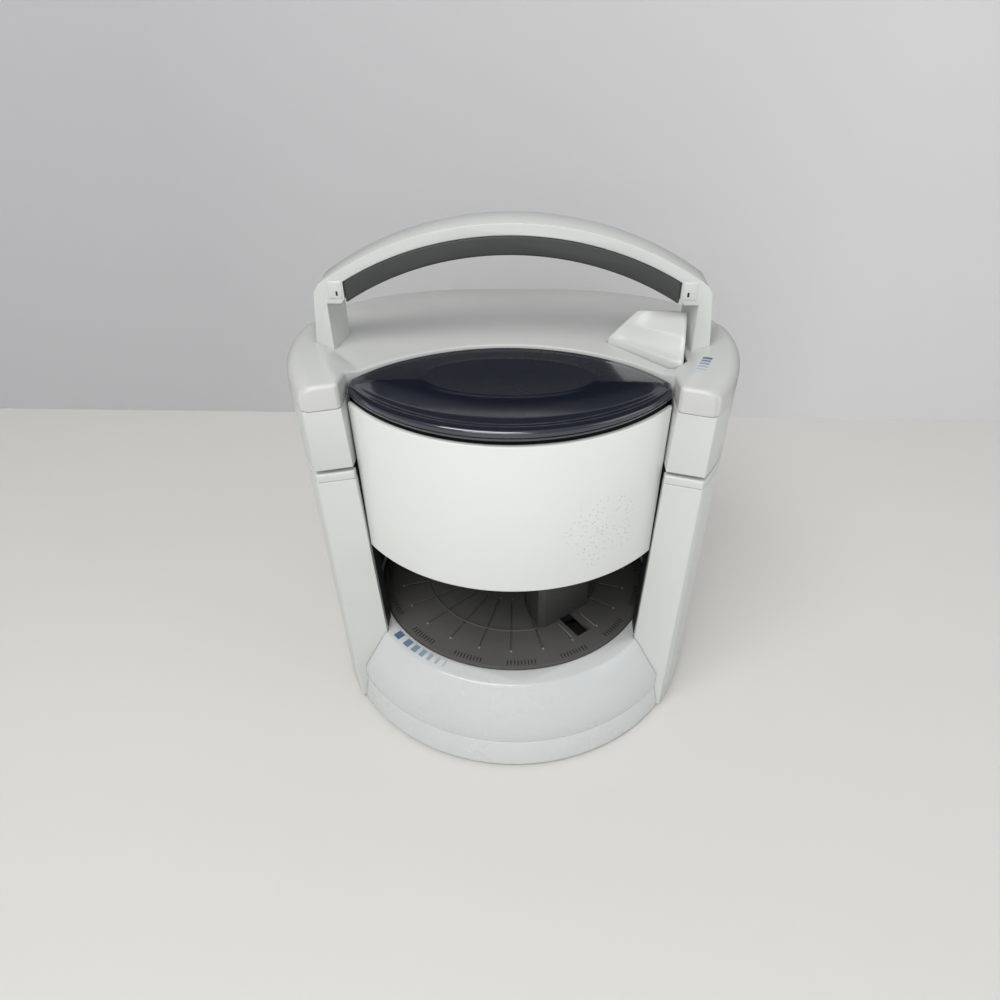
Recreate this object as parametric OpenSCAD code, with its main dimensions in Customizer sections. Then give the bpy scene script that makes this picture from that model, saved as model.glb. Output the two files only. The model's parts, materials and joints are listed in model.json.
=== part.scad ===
// Electric jar opener: a turntable in a round base, two columns, and a head that rides up and down on
// masts inside the columns. Origin: on the table, on the turntable's axis. +Z is up, -Y is the front.

/* [Base] */
// How much larger than the outer wall's foot the base skirt's curve is at the table
base_out = 1; // [0:0.5:2]
// How far behind the axis that curve is centred
base_back = 4; // [3:0.5:6]
// How much narrower the skirt is at the parting line and where the slope begins
base_draw = 0.9; // [0.5:0.1:1.5]
// How far behind the axis the upper end of the skirt is centred
slope_back = 7; // [6:0.5:8]
// Height at which the skirt turns into the slope
slope_z = 30; // [26:1:34]
// How far the flat ring reaches out from the turntable
ring_w = 10; // [9:0.5:11]
// Height of the flat ring and of the turntable's top
deck_z = 56.5; // [54:0.5:62]
// Height of the parting line between pan and base shell
split_z = 18; // [14:1:22]
// Thickness of the moulded walls
wall = 2.5; // [2:0.1:3]
// Height of the rubber feet under the shells
foot_gap = 2; // [1.5:0.1:3]
// Radius of a rubber foot
foot_r = 8; // [6:0.5:8.5]

/* [Tower and columns] */
// Radius of the outer wall at the table
tower_foot_r = 115; // [114:0.5:117]
// How much larger the outer wall is at the top of the head
tower_flare = 2; // [1.5:0.5:3]
// How far inside the outer wall's foot the flat back lies
back_in = 3; // [1:0.5:4]
// Distance of a column's front face from the axis, at its inner edge
face_y = 59.5; // [58:0.5:61]
// How much a column's face turns forward for each millimetre outward
face_toe = 0.277; // [0.2:0.01:0.35]
// How much less than the cavity's radius half the gap between the columns is, at the table
gap_in = 15.5; // [14:0.5:18]
// How much the gap widens on each side for each millimetre of height
gap_slope = 0.031; // [0.02:0.001:0.04]
// Height of the column tops
column_top_z = 176; // [172:1:182]
// Thickness of the rim that caps the columns
rim_h = 5; // [4:0.5:8]
// Depth of a column from the outer wall's foot to the jar cavity
column_depth = 27; // [26:0.1:27.4]
// Thickness of the dark cavity liner
liner_t = 1.6; // [1.2:0.1:2]

/* [Turntable] */
// Gap between turntable and cavity wall
table_in = 2; // [1.5:0.5:4]
// Thickness of the turntable's disc
table_t = 4; // [3:0.5:5]
// Number of radial grooves
grooves = 24; // [12:2:36]
// Direction of the jaw slot, in degrees
jaw_turn = -51.5; // [-90:0.5:0]
// Radius of the steel axle
axle_r = 5; // [4:0.5:6]

/* [Jaws] */
// Distance of a jar jaw's grip from the axis
jar_grip = 31; // [29:0.5:34]
// Depth of a jar jaw, outward
jar_jaw_d = 24; // [20:0.5:26]
// Width of a jar jaw at its outer face
jar_jaw_w = 40; // [34:0.5:42]
// Height of a jar jaw above the turntable
jar_jaw_h = 34; // [26:0.5:40]
// Distance of a lid jaw's grip from the axis
lid_grip = 30; // [28:0.5:34]
// Height of a lid jaw below the head
lid_jaw_h = 22; // [16:0.5:26]
// Thickness of the rubber grip pads
pad_t = 3; // [2:0.2:4]

/* [Head] */
// Height of the seam between skirt and top cover
seam_z = 212.5; // [210:0.5:216]
// Height of the shoulders above the columns
head_top_z = 225; // [223:0.5:229]
// Gap between column tops and head
head_gap = 2.5; // [2:0.1:4]
// Height of the cover behind the button
cover_z = 220.5; // [219:0.5:222]
// Radius of the top cover's rounded outer edge
edge_r = 7; // [5:0.5:8]
// How much larger than the cavity's radius the front bowl is
bowl_out = 12.5; // [12:0.5:14]
// Height of the bowl's lower edge
bowl_z = 125.5; // [122:0.5:130]
// Height of the bowl's upper edge
bowl_top_z = 210; // [208:0.5:211]
// Distance that the head rises
lift = 100; // [80:1:105]

/* [Start button] */
// How far the button's ends reach past the gap's width at the table
button_out = 5.5; // [3.5:0.5:6]
// How far forward the button's front arc reaches
button_front_y = 90.5; // [89:0.5:91]
// How far forward the button's back arc starts
button_back_y = 8; // [7:0.5:11]
// How far forward the button's two tips lie
button_tip_y = 47; // [46:0.5:49]
// Height of the button's upper edge
button_z = 218.5; // [217:0.5:219]
// Travel of the button
button_travel = 2; // [1:0.1:2.2]

/* [Release lever] */
// Height of the lever's upper edge
lever_top_z = 239; // [234:0.5:242]
// Height of the lever's hinge
lever_axis_z = 214; // [212:0.5:215]

/* [Handle] */
// Radius of the arch on the centre line of the grip insert
arch_r = 158; // [154:0.5:164]
// Height of the arch's highest point
arch_top_z = 284.5; // [280:0.5:290]
// Thickness of the arch's white shell
arch_t = 5.5; // [4:0.5:6.5]
// Height of the dark grip insert
insert_t = 9.5; // [8:0.5:11]
// Depth of the handle, front to back
handle_d = 19; // [17:0.5:22]
// Distance of the handle's front face from the axis
handle_front_y = 15.5; // [13:0.5:17]
// How far inside the outer wall's foot the handle's feet stand
handle_in = 14; // [12:0.5:16]

/* [Hidden] */
$fn = 96;

// Clearances
slip = 0.3;          // between pieces that pass or stand beside each other
run = 0.05;          // radial, between a shaft and its hole
far = 400;           // larger than the object, for cutting blocks

white = [0.86, 0.87, 0.85];
dark = [0.2, 0.2, 0.2];
steel = [0.7, 0.7, 0.72];
navy = [0.1, 0.14, 0.24];

// Sizes that follow from the outer wall
tower_top_r = tower_foot_r + tower_flare;
back_y = tower_foot_r - back_in;
base_r = tower_foot_r + base_out;
cavity_r = tower_foot_r - column_depth;
gap_half = cavity_r - gap_in;
table_r = cavity_r - table_in;
ring_r = table_r + ring_w;
bowl_r = cavity_r + bowl_out;
button_half_w = gap_half + button_out;
handle_half_w = tower_foot_r - handle_in;

function tower_r(z) = tower_foot_r + (tower_top_r - tower_foot_r) * z / head_top_z;
function gap_x(z) = gap_half + gap_slope * z;
side_back_y = -45;   // where the columns' inner side walls end
deck_back_y = back_y - wall - slip;

// A slice of the outer cone, flattened at the back; inset draws it in by a wall
module outer_slice(z0, z1, inset = 0) {
    intersection() {
        translate([0, 0, z0])
            cylinder(h = z1 - z0, r1 = tower_r(z0) - inset, r2 = tower_r(z1) - inset, $fn = 180);
        translate([-far / 2, -far / 2, z0])
            cube([far, far / 2 + back_y - inset, z1 - z0]);
    }
}

// Everything behind the two toed column faces
module behind_faces(z0, z1, inset = 0) {
    edge_y = -face_y + inset;
    side_y = edge_y - face_toe * (far / 2 - gap_half);
    translate([0, 0, z0]) linear_extrude(z1 - z0)
        polygon([[gap_half, edge_y], [far / 2, side_y], [far / 2, far / 2],
                 [-far / 2, far / 2], [-far / 2, side_y], [-gap_half, edge_y]]);
}

// The wedge-shaped gap between the columns, from y0 to y1, widened by grow on each side
module column_gap(z0, z1, y0, y1, grow = 0) {
    translate([0, y1, 0]) rotate([90, 0, 0]) linear_extrude(y1 - y0)
        polygon([[-gap_x(z0) - grow, z0], [gap_x(z0) + grow, z0],
                 [gap_x(z1) + grow, z1], [-gap_x(z1) - grow, z1]]);
}

// The C-shaped outer body with its columns
module c_body(z0, z1, inset = 0) {
    difference() {
        intersection() {
            outer_slice(z0, z1, inset);
            behind_faces(z0, z1, inset);
        }
        column_gap(z0 - 1, z1 + 1, -far / 2, -lip_y, inset);
        column_gap(z0 - 1, z1 + 1, -lip_y - 1, side_back_y, inset + liner_t + slip / 3);
    }
}
lip_y = face_y - 3.5;    // the liner starts this far back, behind the columns' rounded front edge

// The two columns' footprints, grown on every side; other pieces are cut back by this
module column_zone(z0, z1, grow) {
    for (side = [-1, 1]) scale_side(side) intersection() {
        behind_faces(z0, z1, -grow);
        difference() {
            translate([0, -far / 2, z0 - 1]) cube([far / 2, far / 2 + side_back_y + grow, z1 - z0 + 2]);
            column_gap(z0 - 2, z1 + 2, -far, side_back_y + grow + 1, -grow);
        }
    }
}
module scale_side(side) {
    if (side > 0) children();
    else mirror([1, 0, 0]) children();
}

// ---- base ----

slope_r = base_r - base_draw;
ring_back = -1;          // centre of the ring's outer edge
// A thin disc at height z; the base's curves aren't concentric
module level(z, r, back) {
    translate([0, back, z - 0.2]) cylinder(h = 0.2, r1 = r - 0.2, r2 = r, $fn = 128);
}
// The base in front of the columns from foot to parting line
module front_foot(inset) {
    intersection() {
        hull() {
            level(foot_gap + 0.2, base_r - inset, base_back);
            level(split_z, slope_r - inset, slope_back);
        }
        translate([-far / 2, -far / 2, foot_gap]) cube([far, far / 2 + side_back_y + slip / 2, split_z]);
    }
}
module pan_block(inset) {
    difference() {
        union() {
            front_foot(inset);
            intersection() {
                outer_slice(foot_gap, split_z, wall + slip + inset);
                translate([-far / 2, side_back_y, foot_gap]) cube([far, far, split_z]);
            }
        }
        column_zone(foot_gap - 1, split_z + 1, slip + inset);
    }
}

boss_spots = [[20.5 - gap_half, -table_r + 11.3], [gap_half - 20.5, -table_r + 11.3],
              [6 - table_r, 45], [table_r - 6, 45]];
boss_r = 4;
boss_seat_z = foot_gap + 6;      // where the pan's bosses meet the deck's tubes
screw_r = 1.25;
screw_head_r = 3.1;
front_feet = [[-table_r, 6 - face_y], [table_r, 6 - face_y]];
rear_feet = [[14 - table_r, table_r - 18], [table_r - 14, table_r - 18]];
foot_sink = 1.5;

module base_pan() {
    color(white) difference() {
        union() {
            difference() {
                pan_block(0);
                intersection() {
                    pan_block(wall);
                    translate([-far / 2, -far / 2, foot_gap + wall]) cube([far, far, split_z]);
                }
            }
            for (p = boss_spots) translate([p[0], p[1], foot_gap]) cylinder(h = boss_seat_z - foot_gap, r = boss_r + 1);
            // seat of the axle
            translate([0, 0, foot_gap]) cylinder(h = gear_z0 - 6 - foot_gap, r = axle_r + 5);
            // seat of the idler's shaft
            translate([idler_p[0], idler_p[1], foot_gap]) cylinder(h = 8, r = idler_shaft_r + 3);
        }
        for (p = boss_spots) translate([p[0], p[1], foot_gap - 1]) {
            cylinder(h = 1 + boss_seat_z - foot_gap - wall, r = screw_head_r + slip);
            cylinder(h = far, r = screw_r + slip);
        }
        for (p = rear_feet) translate([p[0], p[1], foot_gap - 1]) cylinder(h = 1 + foot_sink, r = foot_r + slip / 2);
        translate([0, 0, foot_gap + wall]) cylinder(h = far, r = axle_r);
        translate([idler_p[0], idler_p[1], foot_gap + wall]) cylinder(h = far, r = idler_shaft_r);
        // vents under the motor
        for (i = [-2:2]) translate([motor_p[0] + i * 5 - 1, motor_p[1] - 8, foot_gap - 1]) cube([2, 16, wall + 2]);
    }
}

module rubber_feet() {
    color(dark) for (p = concat(front_feet, rear_feet))
        translate([p[0], p[1], 0]) {
            cylinder(h = 1, r1 = foot_r - 1, r2 = foot_r);
            translate([0, 0, 1]) cylinder(h = foot_gap + foot_sink - 1, r = foot_r);
        }
}

module base_screws() {
    color(steel) for (p = boss_spots) translate([p[0], p[1], 0]) {
        translate([0, 0, boss_seat_z - wall - 2]) cylinder(h = 2, r = screw_head_r);
        translate([0, 0, boss_seat_z - wall]) cylinder(h = wall + 12, r = screw_r);
    }
}

table_gap = 0.8;         // between the turntable's rim and the ring
// The base in front of the columns above the parting line; inset gives the hollow
module front_shell(inset) {
    hull() {
        level(split_z + 0.2 - (inset > 0 ? 1 : 0), slope_r - inset, slope_back);
        level(slope_z - inset / 2, slope_r - inset, slope_back);
        level(deck_z - inset - 0.7, ring_r + 0.5 - inset, ring_back);
        level(deck_z - inset, ring_r - 0.6 - inset, ring_back);
    }
}
module base_shell() {
    ring_in = table_r + table_gap;
    color(white) difference() {
        union() {
            // skirt, slope and ring in front of the columns
            difference() {
                front_shell(0);
                front_shell(wall);
                translate([0, 0, deck_z - wall - 1]) cylinder(h = wall + 2, r = ring_in, $fn = 180);
                translate([-far / 2, side_back_y, 0]) cube(far);
                column_zone(split_z - 1, deck_z + 1, slip);
            }
            // flat deck inside the tower and the columns
            difference() {
                intersection() {
                    outer_slice(deck_z - wall, deck_z, wall + slip);
                    behind_faces(deck_z - wall, deck_z, wall + slip);
                }
                translate([0, 0, deck_z - wall - 1]) cylinder(h = wall + 2, r = ring_in, $fn = 180);
                mast_slots(1);
                // room for the latch rack
                translate([mast_x - 5, 0, 0]) cube([30, rack_y + 8, far]);
            }
            for (p = boss_spots) translate([p[0], p[1], boss_seat_z])
                cylinder(h = deck_z - wall - boss_seat_z + 0.5, r = boss_r);
        }
        for (p = boss_spots) translate([p[0], p[1], boss_seat_z - 1]) cylinder(h = 22, r = screw_r + run);
    }
}

module tower_shell() {
    top = column_top_z - rim_h;
    color(white) difference() {
        union() {
            difference() {
                c_body(foot_gap, top);
                difference() {
                    c_body(foot_gap - 1, top + 1, wall);
                    // floor plates in the columns' feet
                    translate([-far / 2, -far / 2, foot_gap - 1]) cube([far, far / 2 + side_back_y, wall + 1]);
                }
            }
        }
        for (p = front_feet) translate([p[0], p[1], foot_gap - 1]) cylinder(h = 1 + foot_sink, r = foot_r + slip / 2);
        // hole for the cord bush
        translate([cord_x, back_y - wall - 1, cord_z]) rotate([-90, 0, 0]) cylinder(h = wall + 2, r = bush_r);
        // slots through which the base's deck runs into the columns
        intersection() {
            behind_faces(deck_z - wall - slip, deck_z + slip / 2, wall);
            difference() {
                column_gap(deck_z - wall - slip, deck_z + slip / 2, -far, side_back_y + 1, 8);
                column_gap(deck_z - wall - 2, deck_z + 2, -far, far, -1);
            }
        }
        // louvres in the back
        for (i = [0:5]) translate([-23, back_y - wall - 1, 30 + i * 5]) cube([26, wall + 2, 2]);
    }
}

cord_x = 17;
cord_z = 38;
bush_r = 5;
module cord_bush() {
    color(dark) translate([cord_x, back_y - wall, cord_z]) rotate([-90, 0, 0]) difference() {
        union() {
            cylinder(h = wall, r = bush_r);
            translate([0, 0, -2]) cylinder(h = 2, r = bush_r + 1.5);
        }
        translate([0, 0, -3]) cylinder(h = wall + 4, r = 3.2);
    }
}

module mast_slots(grow) {
    for (side = [-1, 1]) translate([side * mast_x - mast_w / 2 - grow, -mast_d / 2 - grow, 0])
        cube([mast_w + 2 * grow, mast_d + 2 * grow, far]);
}

module tower_rim() {
    color(white) difference() {
        c_body(column_top_z - rim_h, column_top_z);
        translate([0, 0, column_top_z - rim_h - 1]) cylinder(h = rim_h + 2, r = cavity_r + liner_t + slip, $fn = 180);
        // room for the liner's flanges
        column_gap(column_top_z - rim_h - 1, column_top_z + 1, side_back_y - 1, flange_back_y + slip, liner_t + slip / 3);
        mast_slots(slip);
    }
}

flange_back_y = side_back_y + 4;     // where the liner's flanges end in its round wall
module cavity_liner() {
    top = column_top_z - 1;
    color(dark) difference() {
        union() {
            translate([0, 0, deck_z]) cylinder(h = top - deck_z, r = cavity_r + liner_t, $fn = 180);
            difference() {
                column_gap(deck_z, top, -lip_y, flange_back_y, liner_t);
                translate([-far / 2, flange_back_y, 0]) cube(far);
            }
        }
        translate([0, 0, deck_z - 1]) cylinder(h = far, r = cavity_r, $fn = 180);
        column_gap(deck_z - 1, top + 1, -far / 2, 0);
        // beside the gap the liner ends at the columns' inner walls
        for (side = [-1, 1]) scale_side(side) difference() {
            translate([0, -far / 2, deck_z - 1]) cube([far / 2, far / 2 + side_back_y + slip, far]);
            column_gap(deck_z - 2, top + 2, -far, side_back_y + slip + 1, liner_t);
        }
    }
}

// ---- drive ----

// Half angle of an involute tooth at radius r, in degrees; below the base circle it stays constant
function inv(a) = tan(a) * 180 / PI - a;
function flank(r, teeth, m) =
    let (base = teeth * m / 2 * cos(20), a = r > base ? acos(base / r) : 0)
    90 / teeth * (1 - backlash) + inv(20) - inv(a);
backlash = 0.08;

module gear_2d(teeth, m) {
    root = teeth * m / 2 - 1.25 * m;
    mid = teeth * m / 2;
    tip = teeth * m / 2 + 0.9 * m;
    profile = [[root, -1], [mid, -1], [tip, -1], [tip, 1], [mid, 1], [root, 1]];
    polygon([for (i = [0:teeth - 1]) for (p = profile)
        let (a = 360 / teeth * i + p[1] * flank(p[0], teeth, m)) [p[0] * cos(a), p[0] * sin(a)]]);
}

// Straight rack along X from x0 to x1, pitch line at y = 0, teeth towards -Y, a gap centred on x = 0
module rack_2d(x0, x1, m, back) {
    pitch = PI * m;
    first = ceil((x0 + pitch * 0.6) / pitch - 0.5);
    last = floor((x1 - pitch * 0.6) / pitch - 0.5);
    half = pitch / 4 * (1 - backlash);
    translate([x0, 1.25 * m]) square([x1 - x0, back - 1.25 * m]);
    for (i = [first:last]) translate([(i + 0.5) * pitch, 0])
        polygon([[-half - 1.3 * m * tan(20), 1.3 * m], [half + 1.3 * m * tan(20), 1.3 * m],
                 [half - 0.9 * m * tan(20), -0.9 * m], [-half + 0.9 * m * tan(20), -0.9 * m]]);
}

gear_teeth = 104;
gear_m = 2 * (table_r - 8) / gear_teeth;
small_teeth = 12;
wheel_m = 1;
wheel_teeth = 40;
pinion_teeth = 10;
gear_z0 = deck_z - 20.5;     // underside of the drive gear
gear_h = 7.5;
wheel_h = 5;
idler_turn = 60;             // direction of the idler from the axle
idler_dist = (gear_teeth + small_teeth) * gear_m / 2;
idler_p = [idler_dist * cos(idler_turn), idler_dist * sin(idler_turn)];
pinion_turn = 184;           // direction of the motor from the idler
pinion_dist = (wheel_teeth + pinion_teeth) * wheel_m / 2;
motor_p = [idler_p[0] + pinion_dist * cos(pinion_turn), idler_p[1] + pinion_dist * sin(pinion_turn)];
idler_shaft_r = 2;
wheel_z0 = gear_z0 - wheel_h - 2;
motor_r = 15;

module axle() {
    // steel spindle with a shoulder that carries the thrust washer
    color(steel) translate([0, 0, foot_gap + wall]) {
        cylinder(h = deck_z - 1 - foot_gap - wall, r = axle_r - 1);
        cylinder(h = gear_z0 - 3 - foot_gap - wall, r = axle_r);
    }
}
spindle_r = axle_r - 1;

module thrust_washer() {
    color(steel) translate([0, 0, gear_z0 - 3]) difference() {
        cylinder(h = 3 - slip, r = axle_r + 7);
        translate([0, 0, -1]) cylinder(h = 5, r = spindle_r + run);
    }
}

slot_w = 10;
slot_in = 12;
module turntable() {
    z0 = deck_z - table_t;
    color(dark) difference() {
        union() {
            translate([0, 0, z0]) cylinder(h = table_t, r = table_r, $fn = 180);
            // skirt that reaches down to the drive gear
            translate([0, 0, gear_z0 + gear_h]) difference() {
                cylinder(h = z0 - gear_z0 - gear_h + 0.5, r = table_r - 9, $fn = 180);
                translate([0, 0, -1]) cylinder(h = far, r = table_r - 9 - wall, $fn = 180);
            }
        }
        translate([0, 0, z0 - 1]) cylinder(h = far, r = spindle_r + run);
        // jaw slots
        rotate([0, 0, jaw_turn]) for (side = [0, 180]) rotate([0, 0, side])
            translate([slot_in, -slot_w / 2, z0 - 1]) cube([table_r - 14 - slot_in, slot_w, table_t + 2]);
        // radial grooves, halfway between multiples of the spacing from the slot
        for (i = [0:grooves - 1]) rotate([0, 0, jaw_turn + (i + 0.5) * 360 / grooves])
            translate([groove_in, -0.6, deck_z - 0.8]) cube([groove_out - groove_in, 1.2, 2]);
        // rim step
        translate([0, 0, deck_z - 0.6]) difference() {
            cylinder(h = 2, r = table_r + 1, $fn = 180);
            translate([0, 0, -1]) cylinder(h = 4, r = table_r - 1.2, $fn = 180);
        }
    }
    // raised ring
    color(dark) translate([0, 0, deck_z]) difference() {
        cylinder(h = 0.5, r = ring_mark_r + 0.6, $fn = 120);
        translate([0, 0, -1]) cylinder(h = 3, r = ring_mark_r - 0.6, $fn = 120);
        rotate([0, 0, jaw_turn]) translate([-far / 2, -jar_jaw_w / 2 - 1, -1]) cube([far, jar_jaw_w + 2, 3]);
    }
}
groove_in = 30;
groove_out = table_r - 14.5;
ring_mark_r = table_r - 29.5;

module drive_gear() {
    color([0.85, 0.83, 0.75]) translate([0, 0, gear_z0]) difference() {
        union() {
            rotate([0, 0, idler_turn]) linear_extrude(gear_h) difference() {
                gear_2d(gear_teeth, gear_m);
                circle(r = table_r - 16, $fn = 180);
            }
            cylinder(h = 2.5, r = table_r - 15, $fn = 180);
            cylinder(h = gear_h, r = spindle_r + 5);
        }
        translate([0, 0, -1]) cylinder(h = far, r = spindle_r + run);
        for (i = [0:5]) rotate([0, 0, 60 * i + 30]) translate([42, 0, -1]) cylinder(h = 5, r = 12);
    }
}

// Jaw drive: two racks on opposite sides of a pinion, so both jaws move alike
jaw_m = 1;
jaw_pinion_teeth = 20;
rack_reach = jaw_pinion_teeth * jaw_m / 2;     // pitch radius
rack_z0 = gear_z0 + gear_h + 1.2;
rack_h = deck_z - table_t - slip - rack_z0;
jaw_out_travel = 20;
jaw_in_travel = 16;

module jaw_pinion_at(z0, h, bore, turn) {
    translate([0, 0, z0]) rotate([0, 0, turn]) difference() {
        linear_extrude(h) gear_2d(jaw_pinion_teeth, jaw_m);
        translate([0, 0, -1]) cylinder(h = h + 2, r = bore);
    }
}

// One jaw with its foot and rack; jaws point to +X, the rack lies on the +Y side, up is away from the rack
module jaw_rack(z0, h, foot_x, foot_d, foot_top) {
    translate([0, rack_reach, z0]) linear_extrude(h)
        rack_2d(-jaw_out_travel - 9, foot_x + foot_d, jaw_m, 6.5);
    // arm from the rack to under the slot
    translate([foot_x, -slot_w / 2 + slip, z0]) cube([foot_d, rack_reach + 6.5 + slot_w / 2 - slip, h]);
    // foot through the slot
    translate([foot_x, -slot_w / 2 + slip, z0]) cube([foot_d, slot_w - 2 * slip, foot_top - z0]);
}

module jaw_block(grip, depth, width, h, taper) {
    // a block that narrows towards the axis, with a shallow V for round jars
    inner_w = width * taper;
    translate([grip + pad_t, 0, 0]) linear_extrude(h) polygon([
        [0, -inner_w / 2], [depth - pad_t - 3, -width / 2], [depth - pad_t, -width / 2 + 3],
        [depth - pad_t, width / 2 - 3], [depth - pad_t - 3, width / 2], [0, inner_w / 2],
        [v_depth, 0]]);
}
v_depth = 2.5;

module grip_pad(grip, width, h) {
    n = 7;
    translate([grip, 0, 0]) linear_extrude(h) union() {
        polygon([[1, -width / 2 + 0.5], [pad_t, -width / 2 + 0.5], [pad_t + v_depth, 0],
                 [pad_t, width / 2 - 0.5], [1, width / 2 - 0.5], [1 + v_depth, 0]]);
        for (i = [-n:n]) translate([v_depth * (1 - abs(i) / n) * 0.95, i * (width / 2 - 2.5) / n])
            translate([0.2, -0.6]) square([1.2, 1.2]);
    }
}

jar_foot_x = jar_grip + 8;
jar_foot_d = 12;
module jar_jaw() {
    color(dark) {
        jaw_rack(rack_z0, rack_h, jar_foot_x, jar_foot_d, deck_z + slip + 1);
        translate([0, 0, deck_z + slip]) jaw_block(jar_grip, jar_jaw_d, jar_jaw_w, jar_jaw_h - slip, 0.75);
    }
}
module jar_pad() {
    color([0.12, 0.12, 0.12]) translate([0, 0, deck_z + slip + 2])
        grip_pad(jar_grip, jar_jaw_w * 0.75, jar_jaw_h - slip - 4);
}
module jar_jaw_a() { rotate([0, 0, jaw_turn]) jar_jaw(); }
module jar_jaw_b() { rotate([0, 0, jaw_turn + 180]) jar_jaw(); }
module jar_pad_a() { rotate([0, 0, jaw_turn]) jar_pad(); }
module jar_pad_b() { rotate([0, 0, jaw_turn + 180]) jar_pad(); }
module jaw_pinion() { color(steel) jaw_pinion_at(rack_z0, rack_h, spindle_r + run, jaw_turn + 90); }

module idler_gear() {
    color([0.85, 0.83, 0.75]) translate([idler_p[0], idler_p[1], 0]) difference() {
        union() {
            translate([0, 0, wheel_z0]) rotate([0, 0, pinion_turn])
                linear_extrude(wheel_h) gear_2d(wheel_teeth, wheel_m);
            translate([0, 0, wheel_z0 + wheel_h - 0.5]) cylinder(h = gear_z0 - wheel_z0 - wheel_h + 1, r = 6.5);
            translate([0, 0, gear_z0 + 0.5]) rotate([0, 0, idler_turn + 180 + 180 / small_teeth])
                linear_extrude(gear_h - 1) gear_2d(small_teeth, gear_m);
        }
        translate([0, 0, wheel_z0 - 1]) cylinder(h = far, r = idler_shaft_r + run);
    }
}
module idler_shaft() {
    color(steel) translate([idler_p[0], idler_p[1], foot_gap + wall]) {
        cylinder(h = deck_z - table_t - 2 * slip - foot_gap - wall, r = idler_shaft_r);
        cylinder(h = wheel_z0 - slip - foot_gap - wall, r = idler_shaft_r);
        difference() {
            translate([0, 0, 8 - wall]) cylinder(h = wheel_z0 - slip - foot_gap - 8, r = idler_shaft_r + 2);
            translate([0, 0, 8 - wall - 1]) cylinder(h = far, r = idler_shaft_r - 0.5);
        }
    }
}
motor_top_z = wheel_z0 - 1;
motor_shaft_r = 1.5;
module motor() {
    color(steel) translate([motor_p[0], motor_p[1], foot_gap + wall]) difference() {
        union() {
            cylinder(h = motor_top_z - foot_gap - wall - 2, r = motor_r);
            cylinder(h = motor_top_z - foot_gap - wall - 0.5, r = 5);
            // mounting ears
            for (side = [-1, 1]) translate([side * (motor_r + 2) - 3, -4, 0]) cube([6, 8, 2.5]);
        }
        translate([0, 0, 6]) cylinder(h = far, r = motor_shaft_r + run);
    }
}
module motor_pinion() {
    color(steel) translate([motor_p[0], motor_p[1], 0]) {
        translate([0, 0, wheel_z0]) rotate([0, 0, pinion_turn + 180 + 180 / pinion_teeth])
            linear_extrude(wheel_h) gear_2d(pinion_teeth, wheel_m);
        translate([0, 0, foot_gap + wall + 6.5]) cylinder(h = wheel_z0 - foot_gap - wall - 6, r = motor_shaft_r);
    }
}
module power_board() {
    color([0.2, 0.4, 0.25]) translate([-62, 40, foot_gap + wall]) {
        for (p = [[4, 4], [44, 4], [4, 36], [44, 36]]) translate([p[0], p[1], 0]) cylinder(h = 4, r = 2.5, $fn = 24);
        translate([0, 0, 4]) cube([48, 40, 1.6]);
        translate([6, 8, 5.6]) cube([16, 18, 12]);
        translate([32, 12, 5.6]) cylinder(h = 14, r = 6);
        translate([32, 28, 5.6]) cylinder(h = 8, r = 4);
    }
}

// ---- masts, guides and latch ----

mast_x = tower_foot_r - 14;
mast_w = 12;
mast_d = 24;
mast_wall = 2;
mast_z0 = 30;
plate_z = column_top_z + 4.5;    // underside of the head's main plate
plate_t = 3;
mast_top_z = plate_z;
guide_h = 20;

module mast(side, window) {
    translate([side * mast_x - mast_w / 2, -mast_d / 2, mast_z0]) difference() {
        cube([mast_w, mast_d, mast_top_z - mast_z0]);
        translate([mast_wall, mast_wall, -1])
            cube([mast_w - 2 * mast_wall, mast_d - 2 * mast_wall, mast_top_z - mast_z0 + 2]);
        if (window) translate([mast_wall, mast_d / 2, pawl_z - mast_z0 - 1])
            cube([mast_w - 2 * mast_wall, mast_d, pawl_h + 2]);
    }
}
module mast_left() { color(white) mast(-1, false); }
module mast_right() { color(white) mast(1, true); }

module mast_guide(side) {
    z0 = column_top_z - rim_h - guide_h;
    color(dark) intersection() {
        difference() {
            translate([side * mast_x - 20, -18, z0]) cube([40, 36, guide_h]);
            translate([0, 0, z0 - 1]) cylinder(h = guide_h + 2, r = cavity_r + liner_t + slip / 2, $fn = 180);
            mast_slots(slip);
        }
        outer_slice(z0, z0 + guide_h, wall + slip / 2);
    }
}
module mast_guide_left() { mast_guide(-1); }
module mast_guide_right() { mast_guide(1); }

pawl_z = 44;
pawl_h = 6;
pawl_w = 6;
pawl_reach = 3;              // travel of the pawl and of its rod
rod_w = 6;
rack_y = mast_d / 2 + 3.5;   // tips of the latch rack's teeth
tooth_pitch = 6;
rack_low_z = 40;
rack_top_z = column_top_z - rim_h - guide_h - 1;

module latch_rack() {
    teeth = floor((rack_top_z - rack_low_z) / tooth_pitch);
    color(steel) intersection() {
        translate([mast_x - 4, 0, 0]) rotate([90, 0, 90]) linear_extrude(20) polygon(concat(
            [for (i = [0:teeth - 1]) for (p = [[3, 0], [0, 2], [0, 3.2], [3, 5]])
                [rack_y + p[0], rack_low_z + i * tooth_pitch + p[1]]],
            [[rack_y + 3, rack_low_z + teeth * tooth_pitch], [rack_y + 7, rack_low_z + teeth * tooth_pitch],
             [rack_y + 7, rack_low_z]]));
        outer_slice(rack_low_z - 1, rack_top_z + 1, wall + slip);
    }
}

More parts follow.
